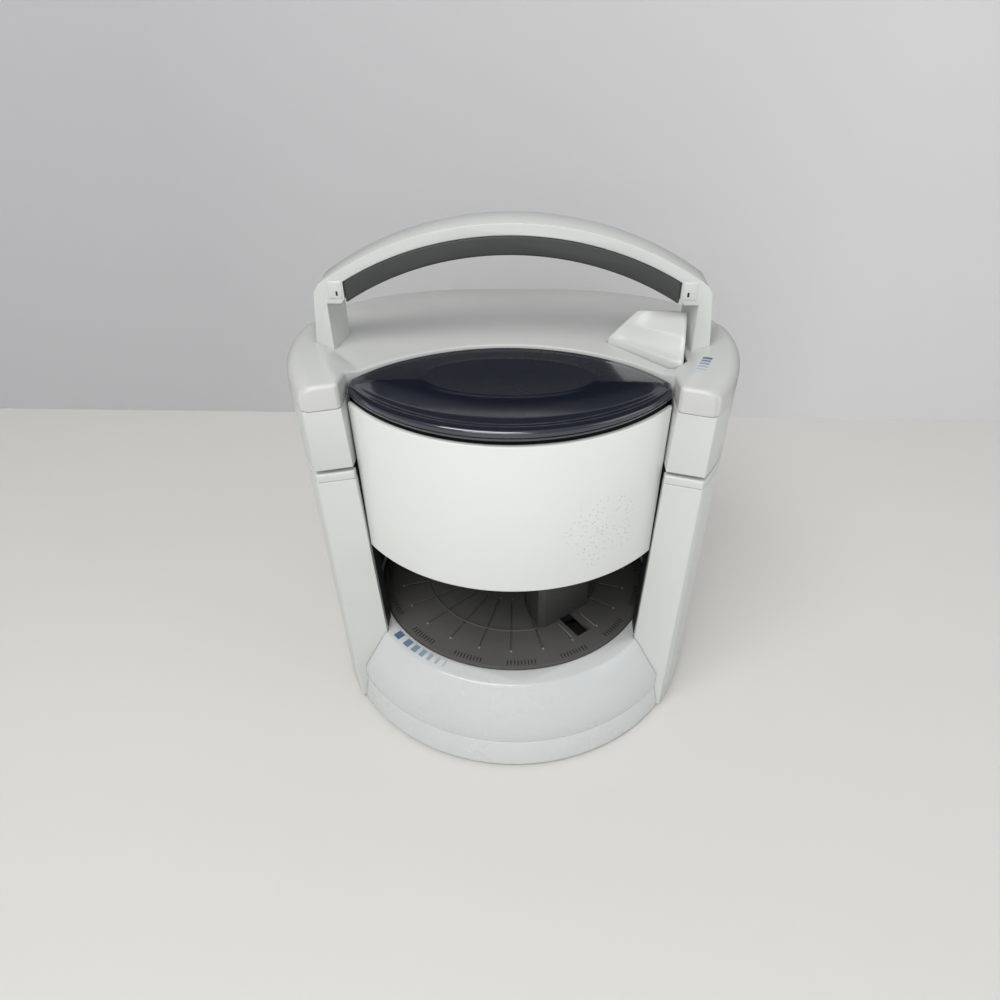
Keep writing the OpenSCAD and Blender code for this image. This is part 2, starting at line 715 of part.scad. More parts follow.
// Pawl at the mast's foot: its ramp is pulled back as the rod comes down
module latch_pawl() {
    color(steel) translate([mast_x - pawl_w / 2, 0, 0]) rotate([90, 0, 90]) linear_extrude(pawl_w)
        polygon([[-6, pawl_z], [rack_y - 0.5, pawl_z], [rack_y - 0.5, pawl_z + 2], [mast_d / 2, pawl_z + pawl_h],
                 [8, pawl_z + pawl_h], [-4, pawl_z + pawl_h + 12], [-6, pawl_z + pawl_h + 12]]);
}
rod_gap = 0.6;
lever_tail_z = 200;          // underside of the lever's tail, above the rod
rod_top_z = lever_tail_z - slip;
module latch_rod() {
    low = pawl_z + pawl_h;
    color(steel) translate([mast_x - rod_w / 2, 0, 0]) rotate([90, 0, 90]) linear_extrude(rod_w)
        polygon([[-3, low + 11 + rod_gap], [5, low + 3 + rod_gap], [5, rod_top_z], [-3, rod_top_z]]);
}

// ---- head ----

chassis_r = cavity_r - 1.5;
chassis_z0 = bowl_z + 3;         // underside of the head's floor
chassis_floor_t = 3;

module head_chassis() {
    color(dark) difference() {
        union() {
            // drum inside the cavity
            translate([0, 0, chassis_z0]) cylinder(h = plate_z - chassis_z0 + 1, r = chassis_r, $fn = 180);
            // main plate over the column tops and inside the bowl
            c_plate(plate_z, plate_z + plate_t);
        }
        translate([0, 0, chassis_z0 + chassis_floor_t])
            cylinder(h = plate_z - chassis_z0 - chassis_floor_t, r = chassis_r - wall, $fn = 180);
        translate([0, 0, plate_z - 1]) cylinder(h = plate_t + 2, r = plate_hole_r);
        // lid jaw slots
        for (side = [0, 180]) rotate([0, 0, side])
            translate([slot_in, -slot_w / 2, chassis_z0 - 1]) cube([table_r - 14 - slot_in, slot_w, chassis_floor_t + 2]);
        // passage for the latch rod
        translate([mast_x - mast_w / 2 + mast_wall, -mast_d / 2 + mast_wall, plate_z - 1])
            cube([mast_w - 2 * mast_wall, mast_d - 2 * mast_wall, plate_t + 2]);
        for (p = chassis_spots) translate([p[0], p[1], plate_z - 1]) cylinder(h = plate_t + 2, r = screw_r + slip);
    }
    // stud of the lid pinion
    color(dark) translate([0, 0, chassis_z0]) cylinder(h = chassis_floor_t + rack_h + 3, r = spindle_r);
}
plate_hole_r = 38;
module c_plate(z0, z1) {
    difference() {
        intersection() {
            outer_slice(z0, z1, wall + slip);
            behind_faces(z0, z1, wall + slip);
        }
        column_gap(z0 - 1, z1 + 1, -far / 2, side_back_y, wall + slip);
    }
    intersection() {
        bowl_solid(z0, z1, bowl_r - wall - slip);
        column_gap(z0, z1, -far / 2, side_back_y + 1, -0.7 - slip);
    }
}
chassis_spots = [[14 - cavity_r, cavity_r - 6], [cavity_r - 14, cavity_r - 6],
                 [-gap_half - 17.5, 1.5 - face_y], [gap_half + 17.5, 1.5 - face_y]];

module head_skirt() {
    z0 = column_top_z + head_gap;
    color(white) difference() {
        union() {
            difference() {
                head_body(z0, seam_z);
                head_body(z0 - 1, seam_z + 1, wall);
            }
            intersection() {
                union() for (p = chassis_spots) translate([p[0], p[1], plate_z + plate_t]) cylinder(h = 12, r = boss_r);
                head_body(z0, seam_z);
            }
        }
        difference() {
            translate([-far / 2, -far / 2, 0]) cube([far, far, far]);
            dome(seam_drop);
        }
        for (p = chassis_spots) translate([p[0], p[1], plate_z + plate_t - 1]) cylinder(h = 11, r = screw_r + run);
    }
}
// The head's C-shaped outline has no liner behind its inner edges
module head_body(z0, z1, inset = 0) {
    difference() {
        intersection() {
            outer_slice(z0, z1, inset);
            behind_faces(z0, z1, inset);
        }
        column_gap(z0 - 1, z1 + 1, -far / 2, side_back_y, inset);
    }
}
module chassis_screws() {
    color(steel) for (p = chassis_spots) translate([p[0], p[1], 0]) {
        translate([0, 0, plate_z - 1.8]) cylinder(h = 1.8, r = screw_head_r);
        translate([0, 0, plate_z]) cylinder(h = plate_t + 9, r = screw_r);
    }
}

// Bowl: a leaning cylinder, closed below by a lip, between the columns
bowl_lean = 2.7;
bowl_mid_y = 7;              // its axis crosses this point at the lower edge
module bowl_solid(z0, z1, r) {
    intersection() {
        translate([0, bowl_mid_y, bowl_z]) rotate([-bowl_lean, 0, 0]) translate([0, 0, -30])
            cylinder(h = 160, r = r, $fn = 180);
        translate([-far / 2, -far / 2, z0]) cube([far, far, z1 - z0]);
    }
}
bowl_back_y = side_back_y - 5;
module front_bowl() {
    color(white) difference() {
        intersection() {
            bowl_solid(bowl_z, bowl_top_z, bowl_r);
            column_gap(bowl_z, bowl_top_z, -far / 2, bowl_back_y, -0.7);
        }
        bowl_solid(bowl_z + wall, bowl_top_z + 1, bowl_r - wall);
        translate([0, 0, bowl_z - 1]) cylinder(h = wall + 2, r = 70, $fn = 180);
    }
}
// Height of the button's outline above the bowl
button_low_z = button_z - 5.7;
module arcs_2d(grow) {
    // a lens of two arcs through the tips
    front_sag = button_front_y - button_tip_y;
    back_sag = button_tip_y - button_back_y;
    half = button_half_w + 2.5;
    front_r = (pow(half, 2) + pow(front_sag, 2)) / (2 * front_sag);
    back_r = (pow(half, 2) + pow(back_sag, 2)) / (2 * back_sag);
    intersection() {
        translate([0, -button_front_y + front_r]) circle(r = front_r + grow, $fn = 180);
        translate([0, -button_back_y - back_r]) circle(r = back_r + grow, $fn = 180);
        // blunt tips
        translate([-button_half_w - grow, -far / 2]) square([2 * (button_half_w + grow), far]);
    }
}
button_clear = 0.6;
module start_button() {
    color(navy) difference() {
        union() {
            translate([0, 0, button_low_z]) linear_extrude(button_z - button_low_z - 1) arcs_2d(0);
            translate([0, 0, button_z - 1.2]) linear_extrude(1.2) arcs_2d(-1);
            // crowned top
            intersection() {
                translate([0, 0, button_z - 2]) linear_extrude(6) arcs_2d(-1.8);
                translate([0, -48, button_z + crown - crown_r]) rotate([0, 90, 0])
                    cylinder(h = far, r = crown_r, center = true, $fn = 180);
            }
        }
        // hollow underside
        translate([0, 0, button_low_z - 1]) linear_extrude(button_z - button_low_z - 2) arcs_2d(-3.5);
        // finger dish
        translate([0, -46, button_z + crown + pow(dish_half_w, 2) / (2 * dish_deep) - dish_deep])
            rotate([0, 90, 0]) rotate_extrude($fn = 180) barrel_2d(dish_half_len, dish_half_w, dish_deep);
    }
    color(navy) for (side = [-1, 1]) translate([side * (button_half_w - 30), -50, button_low_z + 0.2])
        cylinder(h = button_z - button_low_z - 2, r = 3);
}
crown = 1.6;
crown_r = 560;
module barrel_2d(half_len, half_w, deep) {
    // half outline of a long barrel: laid along X it cuts an elliptical dish of this depth
    mid_r = pow(half_w, 2) / (2 * deep);
    long_r = pow(half_len, 2) / (2 * deep);
    intersection() {
        translate([mid_r - long_r, 0]) circle(r = long_r, $fn = 360);
        translate([0, -half_len - 12]) square([mid_r + 1, 2 * half_len + 24]);
    }
}
dish_half_len = 38;
dish_half_w = 20;
dish_deep = 1.8;
tray_z = button_low_z - 6;
module button_tray() {
    // dark floor under the button, standing on posts on the chassis plate
    color(dark) difference() {
        union() {
            intersection() {
                bowl_solid(tray_z, tray_z + 2, bowl_r - wall - slip);
                column_gap(tray_z, tray_z + 2, -far / 2, bowl_back_y, -0.7 - slip);
            }
            translate([0, 0, tray_z]) linear_extrude(2) intersection() {
                arcs_2d(-2);
                translate([-far / 2, bowl_back_y - 2]) square(far);
            }
            for (side = [-1, 1]) translate([side * (button_half_w - 18), -52, plate_z + plate_t])
                cylinder(h = tray_z - plate_z - plate_t, r = 3);
        }
    }
}
module button_switch() {
    color([0.15, 0.15, 0.17]) translate([-10, -55, tray_z + 2]) {
        cube([20, 8, 2.4]);
        translate([8.5, 2.5, 2.4]) cube([3, 3, 0.8]);
    }
}
module button_springs() {
    color(steel) for (side = [-1, 1]) translate([side * (button_half_w - 30), -50, tray_z + 2]) difference() {
        cylinder(h = button_low_z + 0.2 - tray_z - 2, r = 2.6);
        translate([0, 0, -1]) cylinder(h = 10, r = 1.8);
    }
}

dome_r = 578;
dome_y = -40;
module top_cover() {
    color(white) difference() {
        union() {
            difference() {
                cover_solid(0);
                cover_solid(wall);
            }
            // wall that reaches down behind the button
            difference() {
                translate([0, 0, seam_z - 3]) linear_extrude(cover_z - wall / 2 - seam_z + 3)
                    arcs_2d(button_clear + 2);
                translate([-far / 2, -far - button_tip_y + 3, 0]) cube(far);
            }
        }
        // button opening
        translate([0, 0, seam_z - 4]) linear_extrude(far) arcs_2d(button_clear);
        // lever window
        translate([0, 0, seam_z]) linear_extrude(far) lever_plan(lever_clear);
        // holes for the handle's screws
        for (p = handle_spots) translate([p[0], p[1], seam_z]) cylinder(h = far, r = screw_r + slip);
    }
}
// Height of the domed roof at a distance y from the axis
function roof_z(y) = head_top_z + 0.5 - pow(y - dome_y, 2) / (2 * dome_r);
module dome(drop) {
    translate([0, dome_y, head_top_z + 0.5 - dome_r]) rotate([0, 90, 0])
        cylinder(h = far, r = dome_r - drop, center = true, $fn = 360);
}
seam_drop = head_top_z + 0.5 - seam_z;      // the seam follows the roof, this far below it
// Outside of the cover with its rounded edge; inset gives the inside
module cover_solid(inset) {
    z0 = seam_z - 40;
    difference() {
        intersection() {
            rotate_extrude($fn = 180) cover_profile(z0, inset);
            dome(inset);
            behind_faces(z0, far, inset);
            translate([-far / 2, -far / 2, 0]) cube([far, far / 2 + back_y - inset, far]);
        }
        dome(inset > 0 ? seam_drop + 1 : seam_drop);
        // between the shoulders the button and the bowl take the cover's place
        column_gap(z0 - 1, far, -far / 2, -button_tip_y + inset, inset);
        // lowered flat behind the button, between two sloping facets that turn outward to the handle's feet
        intersection() {
            well_side(inset);
            mirror([1, 0, 0]) well_side(inset);
            translate([-far / 2, inset + 1 - button_tip_y, 0]) cube(far);
        }
    }
}
well_turn = 27;
well_reach = cavity_r + 0.3;     // distance of the well's edge from the axis
module well_side(inset) {
    rotate([90, 0, -well_turn]) translate([0, 0, -far / 2]) linear_extrude(far)
        polygon([[-far, cover_z - inset], [well_reach, cover_z - inset], [well_reach + 60, cover_z - inset + 30],
                 [-far, cover_z - inset + 30]]);
}
module cover_profile(z0, inset) {
    r1 = tower_top_r - inset;
    e = edge_r - inset;
    top = head_top_z - inset;
    union() {
        polygon([[0, z0], [tower_r(z0) - inset, z0], [r1, top - e], [r1 - e, top], [0, top]]);
        translate([r1 - e, top - e]) circle(r = e, $fn = 64);
    }
}

// Release lever
lever_x = handle_half_w - 13;        // the lever's right side, beside the handle's leg
lever_pts = [[lever_x - 38, -3.9], [lever_x - 7.2, -35], [lever_x - 1.6, -28.5], [lever_x, -7.2],
             [lever_x - 24.5, -4]];
lever_clear = 0.8;
module lever_plan(grow) {
    // moved lines rather than offset, so that the window keeps flat sides
    if (grow == 0) polygon(lever_pts);
    else polygon([lever_pts[0] + grow * [-2.2, 2.2], lever_pts[1] + grow * [-0.6, -1.6],
                  lever_pts[2] + grow * [1.2, -0.8], lever_pts[3] + grow * [1.2, 2],
                  lever_pts[4] + grow * [-0.4, 2]]);
}
lever_axis_y = -16;
lever_skirt_z = cover_z - 8;
module release_lever() {
    color(white) difference() {
        union() {
            translate([0, 0, lever_skirt_z]) linear_extrude(cover_z + 1 - lever_skirt_z) lever_plan(0);
            lever_hub();
            lever_arm();
            hull() {
                translate([0, 0, cover_z]) linear_extrude(1) lever_plan(0);
                translate([lever_x - 23.8, -5.8, lever_top_z - 1.5]) rotate([0, 90, -7])
                    cylinder(h = 23.6, r = 1.5, $fn = 24);
            }
        }
        // thumb hollow along the slanted front edge
        translate([lever_pts[0][0] - 3.2, lever_pts[0][1] - 3.1, lever_top_z - 6.8]) rotate([0, 0, -39.6])
            translate([-20, 0, 0]) rotate([0, 90, 0]) cylinder(h = 100, r = 10, $fn = 120);
        lever_bore();
        // room for the bracket's cheeks
        for (x = [lever_hub_x[0] - 4.2, lever_hub_x[1] - 0.3]) translate([x, lever_axis_y - 7.5, 0])
            cube([4.5, 15, lever_axis_z + 4]);
    }
}
module lever_bore() {
    translate([lever_hub_x[0] - 20, lever_axis_y, lever_axis_z]) rotate([0, 90, 0])
        cylinder(h = 60, r = lever_pin_r + run);
}
lever_pin_r = 1.5;
lever_hub_x = [lever_x - 25, lever_x - 7];
module lever_hub() {
    translate([lever_hub_x[0], lever_axis_y, lever_axis_z]) rotate([0, 90, 0])
        cylinder(h = lever_hub_x[1] - lever_hub_x[0], r = 4.1);
}
// Arm from the lever's underside across to the latch rod
module lever_arm() {
    translate([lever_hub_x[1] - 8, lever_axis_y + 2, lever_tail_z]) cube([8, 17, lever_skirt_z - lever_tail_z + 1]);
    translate([lever_hub_x[1] - 8, -5, lever_tail_z]) cube([mast_x + rod_w / 2 - lever_hub_x[1] + 8, 8, 5]);
}
module lever_pin() {
    color(steel) translate([lever_hub_x[0] - 3.5, lever_axis_y, lever_axis_z]) rotate([0, 90, 0])
        cylinder(h = lever_hub_x[1] - lever_hub_x[0] + 7, r = lever_pin_r);
}
module lever_bracket() {
    color(dark) difference() {
        translate([lever_hub_x[0] - 3.5, lever_axis_y - 6, plate_z + plate_t])
            cube([lever_hub_x[1] - lever_hub_x[0] + 7, 12, lever_axis_z + 3 - plate_z - plate_t]);
        translate([lever_hub_x[0] - 0.5, lever_axis_y - 7, plate_z + plate_t + 3])
            cube([lever_hub_x[1] - lever_hub_x[0] + 1, 14, far]);
        translate([lever_hub_x[0] - 20, lever_axis_y, lever_axis_z]) rotate([0, 90, 0])
            cylinder(h = 60, r = lever_pin_r);
    }
}
spring_x = lever_hub_x[1] - 3;
module lever_spring() {
    color(steel) translate([spring_x, -3, plate_z + plate_t]) difference() {
        cylinder(h = lever_tail_z - plate_z - plate_t, r = 3);
        translate([0, 0, -1]) cylinder(h = far, r = 2);
    }
}

// ---- handle ----

arch_axis_z = arch_top_z - arch_t - insert_t / 2 - arch_r;
handle_spots = [[6.3 - handle_half_w, handle_d / 2 - handle_front_y], [handle_half_w - 6.3, handle_d / 2 - handle_front_y]];

module handle_arch() {
    color(white) difference() {
        union() {
            arch_sector(arch_r + insert_t / 2, arch_r + insert_t / 2 + arch_t, leg_x, handle_d);
            for (side = [-1, 1]) scale_side(side) handle_leg();
        }
    }
}
// Part of a hoop about a Y axis, |x| below half_w
module arch_sector(r0, r1, half_w, depth) {
    translate([0, -handle_front_y + depth, arch_axis_z]) rotate([90, 0, 0]) linear_extrude(depth) difference() {
        circle(r = r1, $fn = 360);
        circle(r = r0, $fn = 360);
        translate([-far, -2 * far]) square([2 * far, 2 * far]);
        translate([half_w, 0]) square(far);
        translate([-half_w - far, 0]) square(far);
    }
}
module handle_leg() {
    // the foot stands on the cover's roof
    difference() {
        intersection() {
            translate([0, -handle_front_y + handle_d, 0]) rotate([90, 0, 0]) linear_extrude(handle_d)
                polygon([[handle_half_w, cover_z - 2], [handle_half_w - 3.5, leg_top_z], [leg_x, arch_top_at(leg_x)],
                         [insert_x + slip, arch_top_at(insert_x) - 0.5], [insert_x + slip, leg_top_z - 3],
                         [leg_x - 10, leg_top_z - 6], [leg_x - 10, cover_z - 2]]);
            // the leg's inner face turns inward towards the back, below the knuckle
            union() {
                linear_extrude(leg_top_z - 5) polygon([
                    [handle_half_w, -handle_front_y], [handle_half_w - 9.5, -handle_front_y],
                    [handle_half_w - 13.5, -handle_front_y + handle_d],
                    [handle_half_w - 2, -handle_front_y + handle_d]]);
                translate([0, -handle_front_y, leg_top_z - 5.5]) cube([handle_half_w, handle_d, far]);
            }
        }
        cover_solid(0);
        for (p = handle_spots) if (p[0] > 0) translate([p[0], p[1], 200]) cylinder(h = 38, r = screw_r + run);
    }
}
insert_x = handle_half_w - 19;
leg_x = handle_half_w - 6;
leg_top_z = arch_top_z - 33.5;
function arch_top_at(x) = arch_axis_z + sqrt(pow(arch_r + insert_t / 2 + arch_t, 2) - x * x);
module handle_grip() {
    color(dark) arch_sector(arch_r - insert_t / 2, arch_r + insert_t / 2, insert_x, handle_d - 1);
}
module handle_screws() {
    color(steel) for (p = handle_spots) translate([p[0], p[1], cover_z - wall - 0.2]) {
        cylinder(h = wall + 13, r = screw_r);
        translate([0, 0, -2]) cylinder(h = 2, r = screw_head_r);
    }
}

// ---- lid clamp ----

lid_rack_z0 = chassis_z0 + chassis_floor_t + slip;
module lid_pinion() {
    color(steel) jaw_pinion_at(lid_rack_z0, rack_h, spindle_r + run, 90);
}
lid_foot_x = lid_grip + 6;
module lid_jaw() {
    color(dark) {
        translate([0, 0, 2 * lid_rack_z0 + rack_h]) mirror([0, 0, 1])
            jaw_rack(lid_rack_z0, rack_h, lid_foot_x, 10, lid_rack_z0 + rack_h + chassis_floor_t + 2 * slip + 1);
        translate([0, 0, chassis_z0 - slip - lid_jaw_h]) jaw_block(lid_grip, 18, 36, lid_jaw_h, 0.8);
    }
}
module lid_pad() {
    color([0.12, 0.12, 0.12]) translate([0, 0, chassis_z0 - slip - lid_jaw_h + 1])
        grip_pad(lid_grip, 36 * 0.8, lid_jaw_h - 3);
}
module lid_jaw_a() { lid_jaw(); }
module lid_pad_a() { lid_pad(); }
module lid_jaw_b() { rotate([0, 0, 180]) lid_jaw(); }
module lid_pad_b() { rotate([0, 0, 180]) lid_pad(); }

base_pan();
base_shell();
tower_shell();
tower_rim();
cavity_liner();
rubber_feet();
base_screws();
cord_bush();
axle();
thrust_washer();
turntable();
drive_gear();
jaw_pinion();
jar_jaw_a();
jar_pad_a();
jar_jaw_b();
jar_pad_b();
idler_gear();
idler_shaft();
motor();
motor_pinion();
power_board();
mast_guide_left();
mast_guide_right();
latch_rack();
head_chassis();
head_skirt();
top_cover();
front_bowl();
button_tray();
button_switch();
mast_left();
mast_right();
handle_arch();
handle_grip();
handle_screws();
start_button();
button_springs();
release_lever();
lever_pin();
lever_bracket();
lever_spring();
latch_rod();
latch_pawl();
lid_pinion();
lid_jaw_a();
lid_pad_a();
lid_jaw_b();
lid_pad_b();
chassis_screws();
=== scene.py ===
import json
import math

import bmesh
import bpy
from mathutils import Matrix, Vector


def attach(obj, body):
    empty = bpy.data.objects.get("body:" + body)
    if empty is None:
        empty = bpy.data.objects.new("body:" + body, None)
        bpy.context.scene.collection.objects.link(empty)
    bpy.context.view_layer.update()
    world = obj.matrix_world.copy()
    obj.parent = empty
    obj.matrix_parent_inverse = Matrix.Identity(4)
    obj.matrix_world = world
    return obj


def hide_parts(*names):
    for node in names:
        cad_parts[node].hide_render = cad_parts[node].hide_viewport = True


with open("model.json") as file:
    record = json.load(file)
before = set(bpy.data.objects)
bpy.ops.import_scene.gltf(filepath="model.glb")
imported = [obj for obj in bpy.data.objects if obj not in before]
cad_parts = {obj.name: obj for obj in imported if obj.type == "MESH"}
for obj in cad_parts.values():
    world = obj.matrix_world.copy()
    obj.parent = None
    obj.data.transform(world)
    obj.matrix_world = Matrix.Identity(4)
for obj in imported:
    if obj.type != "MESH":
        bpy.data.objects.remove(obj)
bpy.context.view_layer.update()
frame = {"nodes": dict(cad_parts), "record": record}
NODES = frame["nodes"]
MM = 0.001


# ---------------------------------------------------------------- node tree helpers

def srgb(r, g, b):
    """0-255 display values to linear."""
    def lin(c):
        c /= 255
        return c / 12.92 if c <= 0.04045 else ((c + 0.055) / 1.055) ** 2.4
    return (lin(r), lin(g), lin(b), 1.0)


class Tree:
    """Short hand for building a node tree."""

    def __init__(self, tree):
        self.n = tree.nodes
        self.links = tree.links

    def add(self, kind, label="", **props):
        node = self.n.new(kind)
        node.label = label
        for k, v in props.items():
            setattr(node, k, v)
        return node

    def link(self, a, b):
        self.links.new(a, b)

    def feed(self, v, socket):
        """Links an output to a socket, or sets the socket to a plain value."""
        if hasattr(v, "is_output"):
            self.link(v, socket)
        else:
            socket.default_value = v

    def set(self, node, **values):
        for k, v in values.items():
            node.inputs[k].default_value = v
        return node

    def texture(self, kind, label, place, **values):
        """A procedural texture read at a place."""
        node = self.set(self.add("ShaderNodeTex" + kind, label), **values)
        self.link(place, node.inputs["Vector"])
        return node

    def math(self, op, *values, clamp=False):
        node = self.add("ShaderNodeMath", operation=op, use_clamp=clamp)
        for v, socket in zip(values, node.inputs):
            self.feed(v, socket)
        return node.outputs[0]

    def times(self, first, *others):
        for v in others:
            first = self.math("MULTIPLY", first, v)
        return first

    def mix(self, fac, a, b):
        node = self.add("ShaderNodeMix", data_type="RGBA")
        for v, socket in ((fac, 0), (a, 6), (b, 7)):
            self.feed(v, node.inputs[socket])
        return node.outputs[2]

    def remap(self, v, lo, hi, smooth=True):
        """0 at lo and 1 at hi."""
        node = self.add("ShaderNodeMapRange", interpolation_type="SMOOTHSTEP" if smooth else "LINEAR")
        self.link(v, node.inputs["Value"])
        self.set(node, **{"From Min": lo, "From Max": hi})
        return node.outputs["Result"]


def new_material(name):
    """A material with its tree helper and its Principled shader."""
    m = bpy.data.materials.new(name)
    m.use_nodes = True
    t = Tree(m.node_tree)
    return m, t, t.n["Principled BSDF"]


# ---------------------------------------------------------------- moulded plastic

KINDS = {"f": "NodeSocketFloat", "c": "NodeSocketColor", "v": "NodeSocketVector"}
DUST_TONE = srgb(196, 192, 182)
SCUFF_TONE = srgb(168, 168, 165)
GRAIN_DEPTH = 0.0002


def make_moulded():
    """Moulded surface: fine grain, long scuffs, dust on faces that look up, slow tone drift."""
    g = bpy.data.node_groups.new("moulded_surface", "ShaderNodeTree")
    for name, kind, default in (
            ("Base", "c", (0.8, 0.8, 0.8, 1)), ("Grain Size", "f", 900.0), ("Grain Height", "f", 0.1),
            ("Drift", "f", 0.04), ("Scuffs", "f", 0.3), ("Dust", "f", 0.1), ("Roughness", "f", 0.35),
            ("Edge Radius", "f", 0.0006)):
        g.interface.new_socket(name=name, in_out="INPUT", socket_type=KINDS[kind]).default_value = default
    for name, kind in (("Color", "c"), ("Roughness", "f"), ("Normal", "v")):
        g.interface.new_socket(name=name, in_out="OUTPUT", socket_type=KINDS[kind])
    t = Tree(g)
    given, out = t.add("NodeGroupInput").outputs, t.add("NodeGroupOutput").inputs
    place = t.add("ShaderNodeTexCoord").outputs["Object"]

    slow = t.texture("Noise", "slow tone drift", place, Scale=18.0, Detail=4.0, Roughness=0.6)
    drift = t.math("SUBTRACT", slow.outputs["Fac"], 0.5)
    toned = t.add("ShaderNodeHueSaturation")
    t.link(given["Base"], toned.inputs["Color"])
    t.link(t.math("ADD", 1.0, t.times(drift, given["Drift"])), toned.inputs["Value"])

    # scuffs run in two directions, and only where the plastic is rubbed
    lines = []
    for k, stretch in enumerate(((900, 30, 60), (40, 700, 90))):
        m = t.add("ShaderNodeMapping")
        m.inputs["Scale"].default_value = stretch
        m.inputs["Rotation"].default_value = (0.3 + k, 0.2, 0.7 * k)
        t.link(place, m.inputs["Vector"])
        streak = t.texture("Noise", "scuffs", m.outputs[0], Scale=1.0, Detail=3.0)
        lines.append(t.remap(streak.outputs["Fac"], 0.70, 0.78))
    rubbed = t.texture("Noise", "where it is rubbed", place, Scale=35.0, Detail=2.0)
    scuff = t.times(t.math("MAXIMUM", *lines), t.remap(rubbed.outputs["Fac"], 0.52, 0.72), given["Scuffs"])

    up = t.add("ShaderNodeSeparateXYZ")
    t.link(t.add("ShaderNodeNewGeometry").outputs["Normal"], up.inputs[0])
    speck = t.texture("Voronoi", "dust specks", place, Scale=420.0)
    lies = t.texture("Noise", "where dust lies", place, Scale=60.0, Detail=3.0)
    dust = t.times(t.remap(speck.outputs["Distance"], 0.10, 0.02), t.remap(lies.outputs["Fac"], 0.48, 0.7),
                   t.remap(up.outputs["Z"], 0.2, 0.9), given["Dust"])

    dusty = t.mix(dust, toned.outputs["Color"], DUST_TONE)
    t.link(t.mix(t.times(scuff, 0.35), dusty, SCUFF_TONE), out["Color"])
    rough = t.math("ADD", given["Roughness"], t.times(drift, 0.16))
    t.link(t.math("ADD", rough, t.times(t.math("ADD", scuff, dust), 0.4), clamp=True), out["Roughness"])

    fine = t.texture("Noise", "grain", place, Detail=4.0, Roughness=0.65)
    t.link(given["Grain Size"], fine.inputs["Scale"])
    edge = t.add("ShaderNodeBevel", samples=6)
    t.link(given["Edge Radius"], edge.inputs["Radius"])
    bump = t.set(t.add("ShaderNodeBump"), Distance=GRAIN_DEPTH)
    t.link(given["Grain Height"], bump.inputs["Strength"])
    t.link(fine.outputs["Fac"], bump.inputs["Height"])
    t.link(edge.outputs[0], bump.inputs["Normal"])
    t.link(bump.outputs[0], out["Normal"])
    return g


MOULDED = make_moulded()


def plastic(name, color, rough=0.35, grain=0.08, grain_size=900.0, drift=0.05, scuffs=0.3, dust=0.15,
            edge=0.0006, coat=0.0, coat_ior=1.5, specular=0.5, metallic=0.0):
    m, t, b = new_material(name)
    g = t.add("ShaderNodeGroup")
    g.node_tree = MOULDED
    t.set(g, Base=color, Drift=drift, Scuffs=scuffs, Dust=dust, Roughness=rough,
          **{"Grain Size": grain_size, "Grain Height": grain, "Edge Radius": edge})
    t.link(g.outputs["Color"], b.inputs["Base Color"])
    t.link(g.outputs["Roughness"], b.inputs["Roughness"])
    t.link(g.outputs["Normal"], b.inputs["Normal"])
    t.set(b, Metallic=metallic, **{"Coat Weight": coat, "Coat Roughness": 0.12, "Coat IOR": coat_ior,
                                   "Specular IOR Level": specular})
    return m


TEXTURED = dict(rough=0.5, grain=0.35, grain_size=1600.0, drift=0.2, dust=0.35, edge=0.0005)
MAT = {
    "white": plastic("white_shell", srgb(204, 207, 203), rough=0.33, edge=0.0008, coat=0.15),
    "white_base": plastic("white_base_shell", srgb(198, 201, 200), rough=0.28, edge=0.0010, coat=0.3,
                          dust=0.04),
    "white_bowl": plastic("white_bowl", srgb(221, 223, 220), rough=0.33, edge=0.0008, coat=0.15),
    "white_cover": plastic("white_cover", srgb(199, 200, 197), rough=0.36, edge=0.0008, coat=0.1),
    "disc": plastic("turntable_plastic", srgb(88, 87, 84), **TEXTURED),
    "dark": plastic("dark_plastic", srgb(62, 61, 60), **TEXTURED),
    "liner": plastic("liner_plastic", srgb(30, 30, 31), rough=0.55, grain=0.3, drift=0.2, dust=0.2,
                     edge=0.0005),
    "grip": plastic("grip_insert", srgb(58, 60, 60), rough=0.55, grain=0.5, grain_size=2200.0, drift=0.15,
                    dust=0.1),
    "rubber": plastic("black_rubber", srgb(28, 28, 28), rough=0.75, grain=0.4, drift=0.2, dust=0.3,
                      edge=0.0004),
    # light grey for the jaw slot's edge lines, partly wear and partly a painted highlight; also used for the
    # dots at the groove ends
    "slot_edge": plastic("slot_edge_wear", srgb(140, 138, 132), rough=0.4, grain=0.2, drift=0.3, dust=0.3,
                         edge=0.0002),
    "steel": plastic("plain_steel", srgb(165, 165, 168), grain=0.2, drift=0.1, dust=0.0, edge=0.0002,
                     metallic=1.0),
    "gear": plastic("gear_acetal", srgb(222, 215, 196), rough=0.45, grain=0.1, drift=0.06, dust=0.1,
                    edge=0.0003),
    "navy": plastic("navy_lacquer", srgb(10, 19, 38), rough=0.28, grain=0.04, drift=0.1, dust=0.12,
                    edge=0.0005, coat=1.0, coat_ior=1.9, specular=0.15, metallic=0.3),
    "board": plastic("circuit_board", srgb(30, 90, 52), rough=0.4, grain=0.2, drift=0.2, dust=0.1,
                     edge=0.0002),
}

WORN_PLACE = (0.047, -0.080, 0.1565)
WORN_REACH, WORN_CORE = 0.034, 0.008


